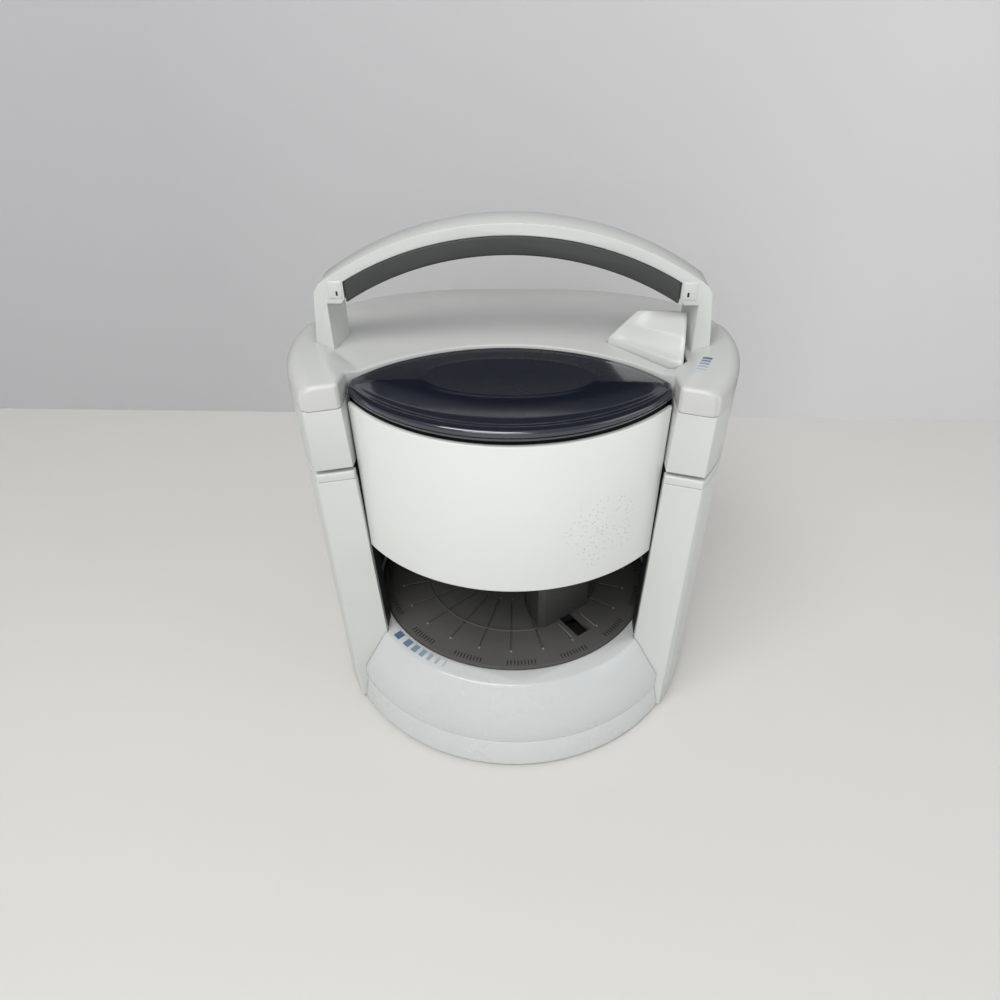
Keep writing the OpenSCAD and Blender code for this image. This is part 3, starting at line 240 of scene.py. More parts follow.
def worn_bowl(fresh):
    """The bowl's white with a speckled rubbed patch at its lower right."""
    m = fresh.copy()
    m.name = "white_bowl_worn"
    t = Tree(m.node_tree)
    base = t.n["Principled BSDF"].inputs["Base Color"]
    clean = base.links[0].from_socket
    place = t.add("ShaderNodeTexCoord").outputs["Object"]
    away = t.add("ShaderNodeVectorMath", "distance from the worn place", operation="DISTANCE")
    t.link(place, away.inputs[0])
    away.inputs[1].default_value = WORN_PLACE
    near = t.remap(away.outputs["Value"], WORN_REACH, WORN_CORE)
    specks = t.texture("Voronoi", "worn specks", place, Scale=520.0)
    ragged = t.texture("Noise", "ragged edge", place, Scale=140.0, Detail=4.0)
    mask = t.times(t.remap(specks.outputs["Distance"], 0.24, 0.12),
                   t.remap(t.math("ADD", near, ragged.outputs["Fac"]), 0.85, 1.2))
    t.link(t.mix(t.times(mask, 0.5), clean, srgb(120, 122, 122)), base)
    return m


MAT["white_worn"] = worn_bowl(MAT["white_bowl"])


# ---------------------------------------------------------------- finishes of the CAD pieces

SLOT_MAT = {"white_plastic": "white", "dark_plastic": "dark", "black_rubber": "rubber", "steel": "steel",
            "gear_plastic": "gear", "navy_gloss": "navy", "board": "board"}
# drive_gear takes the dark plastic, not its own gear finish: painted shade for the gear that lies in shade
# under the turntable, seen through the jaw slot
OWN_MAT = {"base_pan": "white_base", "base_shell": "white_base", "cavity_liner": "liner",
           "handle_grip": "grip", "drive_gear": "dark", "turntable": "disc", "front_bowl": "white_worn"}
WELD_DIST, FLAT_ANGLE, EDGE_ANGLE = 0.00002, 0.4, 34       # metres, degrees
# widths of the rounded edges, in millimetres
EDGES = {"tower_shell": 1.5, "tower_rim": 0.8, "head_skirt": 1.2, "front_bowl": 0.9,
         "base_shell": 0.6, "base_pan": 0.8, "handle_arch": 2.0, "handle_grip": 1.2, "jar_jaw_a": 0.8,
         "jar_jaw_b": 0.8}


def soften(obj, width):
    """Rounds a CAD piece's sharp edges with modifiers; its own mesh stays as it is."""
    weld = obj.modifiers.new("weld", "WELD")
    weld.merge_threshold = WELD_DIST
    flatten = obj.modifiers.new("flatten", "DECIMATE")
    flatten.decimate_type = "DISSOLVE"
    flatten.angle_limit = math.radians(FLAT_ANGLE)
    turn = obj.modifiers.new("round", "BEVEL")
    turn.width = width * MM
    turn.segments = 3
    turn.limit_method = "ANGLE"
    turn.angle_limit = math.radians(EDGE_ANGLE)
    turn.harden_normals = True
    turn.miter_outer = "MITER_ARC"
    for p in obj.data.polygons:
        p.use_smooth = True


slot_of = {s["node"]: s["material_slot"] for s in frame["record"]["subparts"]}
for name, obj in NODES.items():
    obj.data.materials.clear()
    obj.data.materials.append(MAT[OWN_MAT.get(name, SLOT_MAT[slot_of[name]])])
for name, width in EDGES.items():
    soften(NODES[name], width)


# ---------------------------------------------------------------- mesh helpers, in millimetres

def place(o, body=None, slot=None, replaces=None):
    """Hangs a piece on its body and hides the node it stands for; slot is not used."""
    if body:
        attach(o, body)
    if replaces:
        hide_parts(replaces)


def shade(me, sharp):
    """Smooth shading, with edges sharper than this many degrees kept sharp."""
    for p in me.polygons:
        p.use_smooth = True
    me.set_sharp_from_angle(angle=math.radians(sharp))


def new_mesh(name, verts, faces, mat, sharp=35, body=None, slot=None, replaces=None):
    """A piece from points in millimetres."""
    me = bpy.data.meshes.new(name)
    me.from_pydata([(x * MM, y * MM, z * MM) for x, y, z in verts], [], faces)
    bm = bmesh.new()
    bm.from_mesh(me)
    bmesh.ops.remove_doubles(bm, verts=bm.verts, dist=0.000004)
    bmesh.ops.dissolve_degenerate(bm, edges=bm.edges, dist=0.000002)
    bmesh.ops.recalc_face_normals(bm, faces=bm.faces)
    bm.to_mesh(me)
    bm.free()
    shade(me, sharp)
    me.materials.append(mat)
    o = bpy.data.objects.new(name, me)
    bpy.context.collection.objects.link(o)
    place(o, body, slot, replaces)
    return o


def sheet_faces(rows, cols, closed_cols=False):
    """Quads of a grid of points stored row by row."""
    out = []
    for i in range(rows - 1):
        for j in range(cols if closed_cols else cols - 1):
            a, b = i * cols + j, i * cols + (j + 1) % cols
            out.append((a, b, b + cols, a + cols))
    return out


def box_data(lo, hi):
    """Points and faces of a box between two corners."""
    (x0, y0, z0), (x1, y1, z1) = lo, hi
    v = [(x, y, z) for z in (z0, z1) for x, y in ((x0, y0), (x1, y0), (x1, y1), (x0, y1))]
    return v, [(0, 3, 2, 1), (4, 5, 6, 7), (0, 1, 5, 4), (1, 2, 6, 5), (2, 3, 7, 6), (3, 0, 4, 7)]


def prism_data(outline, z0, z1):
    """Points and faces of an upright prism."""
    n = len(outline)
    v = [(x, y, z) for z in (z0, z1) for x, y in outline]
    ends = [tuple(range(n))[::-1], tuple(range(n, 2 * n))]
    return v, ends + [(i, (i + 1) % n, n + (i + 1) % n, n + i) for i in range(n)]


def circle(r, n):
    return [(r * math.cos(2 * math.pi * k / n), r * math.sin(2 * math.pi * k / n)) for k in range(n)]


def rounded_box(lo, hi, r, segments=3):
    """Points and faces of a box with all its edges rounded."""
    v, f = box_data(lo, hi)
    bm = bmesh.new()
    verts = [bm.verts.new(p) for p in v]
    for face in f:
        bm.faces.new([verts[i] for i in face])
    bmesh.ops.bevel(bm, geom=list(bm.edges), offset=r, segments=segments, profile=0.5, affect="EDGES")
    bm.verts.index_update()
    out = [tuple(p.co) for p in bm.verts], [tuple(p.index for p in face.verts) for face in bm.faces]
    bm.free()
    return out


def join_data(parts):
    """Points and faces of several forms as one."""
    verts, faces = [], []
    for v, f in parts:
        k = len(verts)
        verts += v
        faces += [tuple(i + k for i in face) for face in f]
    return verts, faces


def cut(obj, *cutters, sharp):
    """Exact boolean difference, applied; the cutters go."""
    for c in cutters:
        m = obj.modifiers.new("cut", "BOOLEAN")
        m.operation, m.solver, m.object = "DIFFERENCE", "EXACT", c
    dg = bpy.context.evaluated_depsgraph_get()
    me = bpy.data.meshes.new_from_object(obj.evaluated_get(dg))
    obj.modifiers.clear()
    obj.data = me
    shade(me, sharp)
    for c in cutters:
        bpy.data.objects.remove(c)


def edge_drop(d, r):
    """How far an edge rounded with radius r lies below the flat, at distance d from the edge."""
    if d >= r:
        return 0.0
    return r - math.sqrt(max(r * r - (r - max(d, 0.0)) ** 2, 0.0))


def soft_min(a, b, k):
    """The smaller of two values, blended where they differ by less than k."""
    h = max(0.0, min(1.0, 0.5 + 0.5 * (b - a) / k))
    return b * (1 - h) + a * h - k * h * (1 - h)


def smooth01(t):
    """0 below 0, 1 above 1, and a smooth step between."""
    t = max(0.0, min(1.0, t))
    return t * t * (3 - 2 * t)


# ---------------------------------------------------------------- lens-shaped button

BUTTON_HALF, BUTTON_TIP_R = 78.0, 2.6
FRONT_CY, FRONT_R = 5.7, 96.2              # centre and radius of the front arc
REAR_CY, REAR_R = -110.6, 102.6            # and of the rear arc
BUTTON_LOW, BUTTON_RIM, BUTTON_TOP = 213.4, 217.3, 220.4
GROOVE_LOW, GROOVE_HIGH, GROOVE_EDGE, GROOVE_DEPTH = 214.5, 214.95, 0.1, 0.5
ROLL_Z, ROLL_HEIGHT = 216.0, 1.8
TIP_ROLL, FRONT_ROLL = 1.9, 4.6            # how far the rolled edge reaches inwards
MIDDLE_Y, MIDDLE_BOW = -48.5, 2.0          # line between the front and the rear half
REAR_RISE, FRONT_RISE, RISE_BLEND = 1.9, 1.2, 44.0
RISE_Z, RISE_HEIGHT = 213.6, 3.5
DISH_HALF, DISH_Y, DISH_DEPTH, DISH_LIP = (40, 18.5), -45, 2.0, 0.22
FACE_RINGS = 44
TIP_TAB = ((-78.6, -48.6, 213.6), (-77.2, -46.0, 215.6))


def lens_outline(grow, n=96):
    """The button's outline: two arcs that meet in short blunt tips."""
    half, tip = BUTTON_HALF + grow, max(BUTTON_TIP_R + 0.6 * grow, 0.5)
    front, rear = FRONT_R + grow, REAR_R + grow
    x = half - tip
    front_y = FRONT_CY - math.sqrt((front - tip) ** 2 - x * x)
    rear_y = REAR_CY + math.sqrt((rear - tip) ** 2 - x * x)
    front_end = math.atan2(front_y - FRONT_CY, x)
    rear_end = math.atan2(rear_y - REAR_CY, x)
    right = []
    for k in range(n // 2 + 1):
        a = -math.pi / 2 + (front_end + math.pi / 2) * k / (n // 2)
        right.append((front * math.cos(a), FRONT_CY + front * math.sin(a)))
    for k in range(1, 7):
        a = front_end * (1 - k / 6)
        right.append((x + tip * math.cos(a), front_y + tip * math.sin(a)))
    for k in range(0, 6):
        a = rear_end * k / 6
        right.append((x + tip * math.cos(a), rear_y + tip * math.sin(a)))
    for k in range(n // 2 + 1):
        a = rear_end + (math.pi / 2 - rear_end) * k / (n // 2)
        right.append((rear * math.cos(a), REAR_CY + rear * math.sin(a)))
    return right + [(-x, y) for x, y in reversed(right[1:-1])]


def lens_top(x, y):
    """Height of the button's face: a shallow crown with an oval finger dish."""
    inside = min(FRONT_R - math.hypot(x, y - FRONT_CY), REAR_R - math.hypot(x, y - REAR_CY),
                 BUTTON_HALF - abs(x))
    crown = (BUTTON_TOP - BUTTON_RIM - 0.6) * smooth01(inside / 30) ** 0.8
    e = math.hypot(x / DISH_HALF[0], (y - DISH_Y) / DISH_HALF[1])
    dish = DISH_DEPTH * (1 - e * e) ** 1.2 if e < 1 else 0.0
    lip = DISH_LIP * math.exp(-((e - 1.02) / 0.07) ** 2)
    return BUTTON_RIM + 0.55 + crown + lip - dish


def middle_y(x):
    """Line along the button between its front and its rear half."""
    return MIDDLE_Y + MIDDLE_BOW * (x / BUTTON_HALF) ** 2


def rear_part(x, y):
    """0 at the front edge, 1 at the rear edge."""
    return smooth01(0.5 + (y - middle_y(x)) / RISE_BLEND)


def raised(x, y, z):
    """The rim stands higher at the rear and, less, at the middle of the front."""
    rear = rear_part(x, y)
    front = (1 - rear) * (1 - min(1, abs(x) / BUTTON_HALF) ** 2)
    return x, y, z + (REAR_RISE * rear + FRONT_RISE * front) * smooth01((z - RISE_Z) / RISE_HEIGHT)


def button_levels():
    """Growth of the outline at the tips, at the front, and the height, from the bottom up."""
    flush, seam = -0.1, -0.15
    levels = [(-2.4, -2.4, BUTTON_LOW), (-0.5, -0.5, BUTTON_LOW), (seam, seam, BUTTON_LOW + 0.35),
              (seam, seam, GROOVE_LOW)]
    for z in (GROOVE_LOW + GROOVE_EDGE, GROOVE_HIGH - GROOVE_EDGE):
        levels.append((flush - GROOVE_DEPTH, flush - GROOVE_DEPTH, z))
    levels += [(flush, flush, GROOVE_HIGH), (flush, flush, ROLL_Z)]
    for k in range(1, 11):
        a = math.pi / 2 * k / 10
        inward = 1 - math.cos(a)
        z = ROLL_Z + ROLL_HEIGHT * math.sin(a)
        levels.append((flush - TIP_ROLL * inward, flush - FRONT_ROLL * inward, z))
    return levels


def build_button():
    loops = []
    for at_tips, at_front, z in button_levels():
        loop = []
        for (x, y), (x2, y2) in zip(lens_outline(at_tips), lens_outline(at_front)):
            w = (1 - rear_part(x, y)) * (1 - min(1, abs(x) / BUTTON_HALF) ** 4)
            loop.append(raised(x + (x2 - x) * w, y + (y2 - y) * w, z))
        loops.append(loop)
    edge = loops[-1]
    face_z = ROLL_Z + ROLL_HEIGHT
    for k in range(1, FACE_RINGS + 1):
        f = 1 - k / FACE_RINGS
        loop = []
        for x, y, _ in edge:
            px, py = x * (0.6 + 0.4 * f), middle_y(x) + (y - middle_y(x)) * f
            loop.append(raised(px, py, face_z + (lens_top(px, py) - face_z) * smooth01((1 - f) * 8)))
        loops.append(loop)
    n = len(edge)
    faces = sheet_faces(len(loops), n, closed_cols=True)
    faces.append(tuple(range(n))[::-1])
    new_mesh("start_button_cap", [p for loop in loops for p in loop], faces, MAT["navy"], 50,
             "button", "navy_gloss", "start_button")
    new_mesh("button_tip_tab", *box_data(*TIP_TAB), MAT["white"], body="head", slot="white_plastic")


# ---------------------------------------------------------------- release lever

FRONT_LEFT, FRONT_RIGHT = (50.2, -4.1), (84.2, -36.6)
REAR_RIGHT, REAR_LEFT = (88.5, -7.6), (63.8, -4.4)
LEVER_WINDOW = [(48.24, -2.14), (80.32, -36.28), (87.36, -29.14), (88.96, -5.6), (63.18, -2.4)]
LEVER_CORNER = 0.20                        # share of the sides that the front right corner's arc takes
LEDGE_Z, LEDGE_TILT, LEVER_RISE = 223.6, 0.8, 15.3
LEDGE_END, CREASE = 0.12, 0.46             # shares of the depth, from the front
CREASE_RISE, TOP_RISE = 7.7, 7.1
LEVER_DEPTH, LEVER_LOW, LEVER_HIGH = 27.0, 212.5, 238.95
PIVOT_Y, PIVOT_Z, HUB_R, HUB_SIDES = -16.0, 214.0, 4.1, 32
HUB_X = (63, 81)
ARM_FOOT = ((73, -5, 200), (104, 3, 205))
ARM_STEM = ((73, -14, 200), (80.6, 3, 213))
CHEEK_X, CHEEK_WIDTH = {"a": 58.8, "b": 80.7}, 4.5         # room for the bracket's two cheeks
CHEEK_Y, CHEEK_Z = (-24, -8.5), (205, 218)


def between(p, q, t):
    """Plan point at share t of the way from p to q."""
    return p[0] + (q[0] - p[0]) * t, p[1] + (q[1] - p[1]) * t


def lever_step(v):
    """Height along the depth: a flat ledge, a hollow below the crease, then the flat upper face."""
    if v < LEDGE_END:
        return 4.0 * v
    if v < CREASE:
        t = (v - LEDGE_END) / (CREASE - LEDGE_END)
        return 0.48 + CREASE_RISE * (0.1 * t + 0.9 * t * t)
    return 0.48 + CREASE_RISE + TOP_RISE * (v - CREASE) / (1 - CREASE)


def lever_surface(u, v):
    """u along the front edge from left to right, v from front to rear."""
    cu, cv, r = 1 - u, v, LEVER_CORNER
    if cu < r and cv < r:
        m, h = max(r - cu, r - cv), math.hypot(r - cu, r - cv)
        cu, cv = r - (r - cu) * m / h, r - (r - cv) * m / h
    x, y = between(between(FRONT_LEFT, FRONT_RIGHT, 1 - cu), between(REAR_LEFT, REAR_RIGHT, 1 - cu), cv)
    carve = smooth01(u / 0.2)
    z = LEDGE_Z + LEDGE_TILT * u + LEVER_RISE * v * (1 - carve) + lever_step(v) * carve
    width = 24 + 20 * (1 - v)
    z -= edge_drop(v * LEVER_DEPTH, 1.0) + edge_drop((1 - v) * LEVER_DEPTH, 0.8)
    z -= 0.6 * edge_drop(u * width, 1.0) + edge_drop((1 - u) * width, 2.4)
    return x, y, min(z, LEVER_HIGH)


def lever_hub():
    """Round boss of the lever's arm on its pin."""
    ring = [(PIVOT_Y + y, PIVOT_Z + z) for y, z in circle(HUB_R, HUB_SIDES)]
    v = [(x, y, z) for x in HUB_X for y, z in ring]
    n = HUB_SIDES
    ends = [tuple(range(n)), tuple(range(n, 2 * n))[::-1]]
    return v, ends + [(i, (i + 1) % n, n + (i + 1) % n, n + i) for i in range(n)]


def build_lever():
    def spread(n):
        return [0.5 - 0.5 * math.cos(math.pi * k / n) for k in range(n + 1)]

    us, vs = spread(56), spread(64)
    verts = [lever_surface(u, v) for u in us for v in vs]
    rows, cols = len(us), len(vs)
    faces = sheet_faces(rows, cols)
    rim = [i * cols for i in range(rows)] + [(rows - 1) * cols + j for j in range(1, cols)]
    rim += [i * cols + cols - 1 for i in range(rows - 2, -1, -1)] + list(range(cols - 2, 0, -1))
    m, low = len(rim), len(verts)
    verts += [(verts[i][0], verts[i][1], LEVER_LOW) for i in rim]
    faces += [(rim[i], rim[(i + 1) % m], low + (i + 1) % m, low + i) for i in range(m)]
    faces.append(tuple(range(low, low + m)))
    cap = new_mesh("lever_cap", verts, faces, MAT["white"], 46)
    cheeks = []
    for word, x in CHEEK_X.items():
        v, f = box_data((x, CHEEK_Y[0], CHEEK_Z[0]), (x + CHEEK_WIDTH, CHEEK_Y[1], CHEEK_Z[1]))
        cheeks.append(new_mesh("cheek_" + word, v, f, MAT["white"]))
    cut(cap, *cheeks, sharp=46)
    place(cap, "lever", "white_plastic", "release_lever")
    v, f = join_data([box_data(*ARM_FOOT), box_data(*ARM_STEM), lever_hub()])
    new_mesh("lever_arm", v, f, MAT["white"], body="lever", slot="white_plastic")


# ---------------------------------------------------------------- top cover

BACK_Y, TOP_R = 112.0, 117.0
FACE_Y, FACE_TOE, GAP_HALF = 59.5, 0.277, 72.5      # front faces of the shoulders, turned outwards
FACE_K = math.hypot(1, FACE_TOE)
COVER_GAP, COVER_Z = 79.3, 220.5
SEAM_DROP, SEAM_GAP = 13.0, 0.35
ROOF_TOP, ROOF_R, ROOF_Y = 225.5, 578.0, -40.0
WELL_REACH, WELL_NARROWS = 88.3, 4.1                # the well's edge, and how much nearer it is in front
WELL_RISE, WELL_TOP = 5.0, 98.3
WELL_DIR = (math.cos(math.radians(27)), -math.sin(math.radians(27)))
COVER_ROLL = 7.5                                    # rounding of the outer edge
FACE_ROLL, INNER_ROLL, REAR_LIP = 2.2, 1.7, 0.6
SHOULDER_END_Y, LENS_SIDE_Y, LENS_WALL_Z = -45.5, -44.5, 209.6
SKIN = 2.5
FACE_STEPS = (0, .15, .35, .65, 1.05, 1.6, 2.3, 3.3, 5, 7, 9, 11, 12.6, 13.8, 14.5, 14.8, 15.0, 15.2, 15.4,
              15.6, 15.8)
NEAR_STEPS = (0, 0.12, 0.3, 0.55, 0.9, 1.4, 2.1, 3.2, 4.6)
FAR_STEPS = (10, 8.2, 6.6, 5.0, 3.6, 2.4, 1.4, 0.7, 0.25, 0)
MIDDLE_STEPS, REAR_COLUMNS = 16, 76
INNER_CORNER_R, OUTER_CORNER_R = 1.8, 3.2
TURN_POINT, TURN_BEHIND = (-79.1, -44.8), 16.1      # where the shoulder's side meets the button's well
REAR_START_X, REAR_BEHIND = 78.2, 16.4


def face_y(x):
    """Where the shoulder's front face stands."""
    return -FACE_Y - FACE_TOE * (abs(x) - GAP_HALF)


def roof_z(y, drop=0.0):
    """Height of the arched roof, or of an arch this much inside it."""
    return ROOF_TOP - ROOF_R + math.sqrt((ROOF_R - drop) ** 2 - (y - ROOF_Y) ** 2)


def cover_top(x, y):
    """Roof with the lowered well behind the button, which turns outwards past the handle's feet."""
    reach = WELL_REACH - WELL_NARROWS * smooth01((-18 - y) / 18)
    side = abs(x) * WELL_DIR[0] + y * WELL_DIR[1] - reach
    slope = WELL_RISE / (WELL_TOP - reach)
    well = COVER_Z + slope * 0.5 * (side + math.sqrt(side * side + 0.5))
    return soft_min(roof_z(y), well, 0.9)


def corner_turn(x, y):
    """Rounds the plan's sharp corners at the front faces; gives the moved point and its distances
    from the front face, the inner edge and the outer edge."""
    ax = abs(x)
    front = (y - face_y(x)) / FACE_K
    normal = (FACE_TOE / FACE_K, 1 / FACE_K)
    inner, outer = ax - COVER_GAP, TOP_R - math.hypot(x, y)
    for side, r, way in ((inner, INNER_CORNER_R, (1.0, 0.0)),
                         (outer, OUTER_CORNER_R, (-ax / TOP_R, -y / TOP_R))):
        if front < r and side < r:
            c = (r - front, r - side)
            s = max(c) / max(math.hypot(*c), 1e-6)
            da, db = c[0] * (1 - s), c[1] * (1 - s)
            x = math.copysign(ax + normal[0] * da + way[0] * db, x)
            y += normal[1] * da + way[1] * db
            break
    return x, y, front, inner, outer


def cover_outline(theta):
    """The cover's outer edge: a circle cut off by the flat back, with soft corners."""
    s = math.sin(theta)
    r = soft_min(TOP_R, BACK_Y / s, 1.2) if s > 0.5 else TOP_R
    return r * math.cos(theta), r * s


def outline_angle(behind):
    """Angle at which the left outline lies this far behind the front face, by halving."""
    lo, hi = math.radians(180), math.radians(216)
    for _ in range(40):
        mid = (lo + hi) / 2
        x, y = cover_outline(mid)
        if (y - face_y(x)) / FACE_K > behind:
            lo = mid
        else:
            hi = mid
    return lo


def cover_columns():
    """Pairs of inner and outer plan points, from the left face round the back to the right face."""
    left = []
    for behind in FACE_STEPS:
        outside = cover_outline(outline_angle(behind / FACE_K))
        left.append(((-COVER_GAP, face_y(COVER_GAP) + behind), outside))
    left.append((TURN_POINT, cover_outline(outline_angle(TURN_BEHIND / FACE_K))))
    first = outline_angle(REAR_BEHIND / FACE_K)
    r = REAR_R + REAR_LIP
    spread = math.asin(REAR_START_X / r)
    for k in range(REAR_COLUMNS + 1):
        u = k / REAR_COLUMNS
        w = 1 - math.cos(math.pi * u / 2)
        a = spread * (1 - (0.35 * u + 0.65 * w))
        theta = first + (math.pi / 2 - first) * (0.6 * u + 0.4 * w)
        left.append(((-r * math.sin(a), REAR_CY + r * math.cos(a)), cover_outline(theta)))
    return left + [((-p[0], p[1]), (-q[0], q[1])) for p, q in reversed(left[:-1])]


def column_shares(length):
    """Places along a column, closer together at both edges."""
    inner, outer = NEAR_STEPS[-1] / length, 1 - FAR_STEPS[0] / length
    middle = [inner + (outer - inner) * j / (MIDDLE_STEPS + 1) for j in range(1, MIDDLE_STEPS + 1)]
    return [d / length for d in NEAR_STEPS] + middle + [1 - d / length for d in FAR_STEPS]


def cover_point(x, y, near_edge, is_rim):
    """Top and underside point of the cover's skin."""
    x2, y2, front, inner, outer = corner_turn(x, y)
    dx, dy = max(COVER_ROLL - outer, 0), max(COVER_ROLL - (BACK_Y - y), 0)
    z = cover_top(x2, y2) - COVER_ROLL + math.sqrt(max(COVER_ROLL ** 2 - dx * dx - dy * dy, 0))
    if y < SHOULDER_END_Y:
        side_drop = edge_drop(inner, INNER_ROLL)
    else:
        side_drop = edge_drop(math.hypot(x, y - REAR_CY) - REAR_R - REAR_LIP, REAR_LIP)
    z -= max(edge_drop(front, FACE_ROLL), side_drop)
    if not is_rim:
        low = z - SKIN
    elif near_edge and y > LENS_SIDE_Y:
        low = LENS_WALL_Z
    else:
        low = roof_z(y2, SEAM_DROP) + SEAM_GAP
    return (x2, y2, max(z, low + 0.5)), (x2, y2, low)


def build_cover():
    columns = cover_columns()
    verts = []
    for k, (p, q) in enumerate(columns):
        ts = column_shares(math.dist(p, q))
        at_face = min(k, len(columns) - 1 - k) < 5
        top, under = [], []
        for j, t in enumerate(ts):
            near_edge = j < len(NEAR_STEPS) - 2
            is_rim = near_edge or j > len(ts) - 6 or at_face
            high, low = cover_point(*between(p, q, t), near_edge, is_rim)
            top.append(high)
            under.append(low)
        verts += top + under[::-1]
    count = len(ts)
    loop = 2 * count
    faces = sheet_faces(len(columns), loop, closed_cols=True)
    for start in (0, (len(columns) - 1) * loop):
        for j in range(count - 1):
            far = start + loop - 1 - j
            faces.append((start + j, start + j + 1, far - 1, far))
    cover = new_mesh("cover_shell", verts, faces, MAT["white_cover"], 38)
    cut(cover, new_mesh("window", *prism_data(LEVER_WINDOW, 200, 250), MAT["white"]), sharp=38)
    place(cover, "head", "white_plastic", "top_cover")


# ---------------------------------------------------------------- knuckles at the ends of the grip

# range across, front, rear, and range in height
KNUCKLE = ((82.7, 90.4), -15.85, -6.0, (247.8, 257.2))
# the slot is a thin black block on the knuckle's front: painted shade for the dark inside of a hole
KNUCKLE_SLOT_SHADE = ((85.1, 86.5), -15.9, -14.5, (249.6, 252.2))


def build_knuckles():
    for side, word in ((-1, "left"), (1, "right")):
        # each knuckle gets a white block and, on its front, a black block that is painted shade for the hole
        for (xs, y0, y1, zs), r, segments, name, mat, slot in (
                (KNUCKLE, 0.9, 3, "grip_knuckle_", "white", "white_plastic"),
                (KNUCKLE_SLOT_SHADE, 0.3, 2, "grip_knuckle_slot_shade_", "rubber", "dark_plastic")):
            x0, x1 = sorted((side * xs[0], side * xs[1]))
            v, f = rounded_box((x0, y0, zs[0]), (x1, y1, zs[1]), r, segments)
            new_mesh(name + word, v, f, MAT[mat], 40, "head", slot)


# ---------------------------------------------------------------- what repeats, with geometry nodes

REPEAT_INPUTS = {"Geometry": "Geometry", "Count": "Int", "Per Group": "Int", "Group Step": "Float",
                 "Step": "Float", "Start": "Float", "Radius": "Float", "Height": "Float",
                 "Size Spread": "Float", "Seed": "Int", "Ease": "Float", "Taper": "Float",
                 "Material": "Material"}
REPEAT_REST = {"Count": 1, "Per Group": 1, "Group Step": 0.0, "Step": 0.0, "Start": 0.0, "Radius": 0.0,
               "Height": 0.0, "Size Spread": 0.0, "Seed": 5, "Ease": 1.0, "Taper": 0.0}


def make_repeat():
    """Copies of a small mesh round the vertical axis, in groups. Ease closes the groups up, Taper
    narrows the copies, and each copy keeps its share of the row as the attribute fade."""
    g = bpy.data.node_groups.new("repeat_round_axis", "GeometryNodeTree")
    g.interface.new_socket(name="Geometry", in_out="OUTPUT", socket_type="NodeSocketGeometry")
    for name, kind in REPEAT_INPUTS.items():
        g.interface.new_socket(name=name, in_out="INPUT", socket_type="NodeSocket" + kind)
    t = Tree(g)
    given, out = t.add("NodeGroupInput").outputs, t.add("NodeGroupOutput").inputs

    def vector(**parts):
        node = t.add("ShaderNodeCombineXYZ")
        for axis, v in parts.items():
            t.feed(v, node.inputs[axis])
        return node.outputs[0]

    index = t.add("GeometryNodeInputIndex").outputs[0]
    group = t.math("FLOOR", t.math("DIVIDE", t.math("ADD", index, 0.5), given["Per Group"]))
    in_group = t.math("SUBTRACT", index, t.times(group, given["Per Group"]))
    last = t.math("MAXIMUM", t.math("SUBTRACT", given["Count"], 1.0), 1.0)
    eased = t.times(last, t.math("POWER", t.math("DIVIDE", group, last), given["Ease"]))
    angle = t.math("MULTIPLY_ADD", eased, given["Group Step"], given["Start"])
    angle = t.math("MULTIPLY_ADD", in_group, given["Step"], angle)
    share = t.math("DIVIDE", index, last)

    row = t.add("GeometryNodeMeshLine", mode="OFFSET")
    t.link(given["Count"], row.inputs["Count"])
    row.inputs["Offset"].default_value = (0, 0, 0)
    move = t.add("GeometryNodeSetPosition")
    t.link(row.outputs[0], move.inputs["Geometry"])
    across = t.times(t.math("COSINE", angle), given["Radius"])
    along = t.times(t.math("SINE", angle), given["Radius"])
    t.link(vector(X=across, Y=along, Z=given["Height"]), move.inputs["Position"])
    size = t.add("FunctionNodeRandomValue", data_type="FLOAT")
    t.link(t.math("SUBTRACT", 1.0, given["Size Spread"]), size.inputs[2])
    t.link(t.math("ADD", 1.0, given["Size Spread"]), size.inputs[3])
    t.link(given["Seed"], size.inputs["Seed"])
    narrow = t.math("SUBTRACT", 1.0, t.times(given["Taper"], share))

    copies = t.add("GeometryNodeInstanceOnPoints")
    t.link(move.outputs[0], copies.inputs["Points"])
    t.link(given["Geometry"], copies.inputs["Instance"])
    t.link(vector(Z=angle), copies.inputs["Rotation"])
    t.link(vector(X=size.outputs[1], Y=t.times(size.outputs[1], narrow), Z=1.0), copies.inputs["Scale"])
    fade = t.add("GeometryNodeStoreNamedAttribute", data_type="FLOAT", domain="INSTANCE")
    fade.inputs["Name"].default_value = "fade"
    t.link(copies.outputs[0], fade.inputs["Geometry"])
    t.link(share, fade.inputs["Value"])
    real = t.add("GeometryNodeRealizeInstances")
    t.link(fade.outputs[0], real.inputs[0])
    finish = t.add("GeometryNodeSetMaterial")
    t.link(real.outputs[0], finish.inputs["Geometry"])
    t.link(given["Material"], finish.inputs["Material"])
    t.link(finish.outputs[0], out[0])
    return g


REPEAT = make_repeat()


def repeat(name, data, mat, body, slot, **values):
    """A plain mesh of many copies of one small mesh; lengths in metres, angles in radians."""
    o = new_mesh(name, *data, mat, 40)
    mod = o.modifiers.new("repeat", "NODES")
    mod.node_group = REPEAT
    ids = {s.name: s.identifier for s in REPEAT.interface.items_tree if s.in_out == "INPUT"}
    for key, v in dict(REPEAT_REST, **values).items():
        mod[ids[key]] = v
    mod[ids["Material"]] = mat
    dg = bpy.context.evaluated_depsgraph_get()
    me = bpy.data.meshes.new_from_object(o.evaluated_get(dg), preserve_all_data_layers=True, depsgraph=dg)
    o.modifiers.clear()
    o.data = me
    place(o, body, slot)


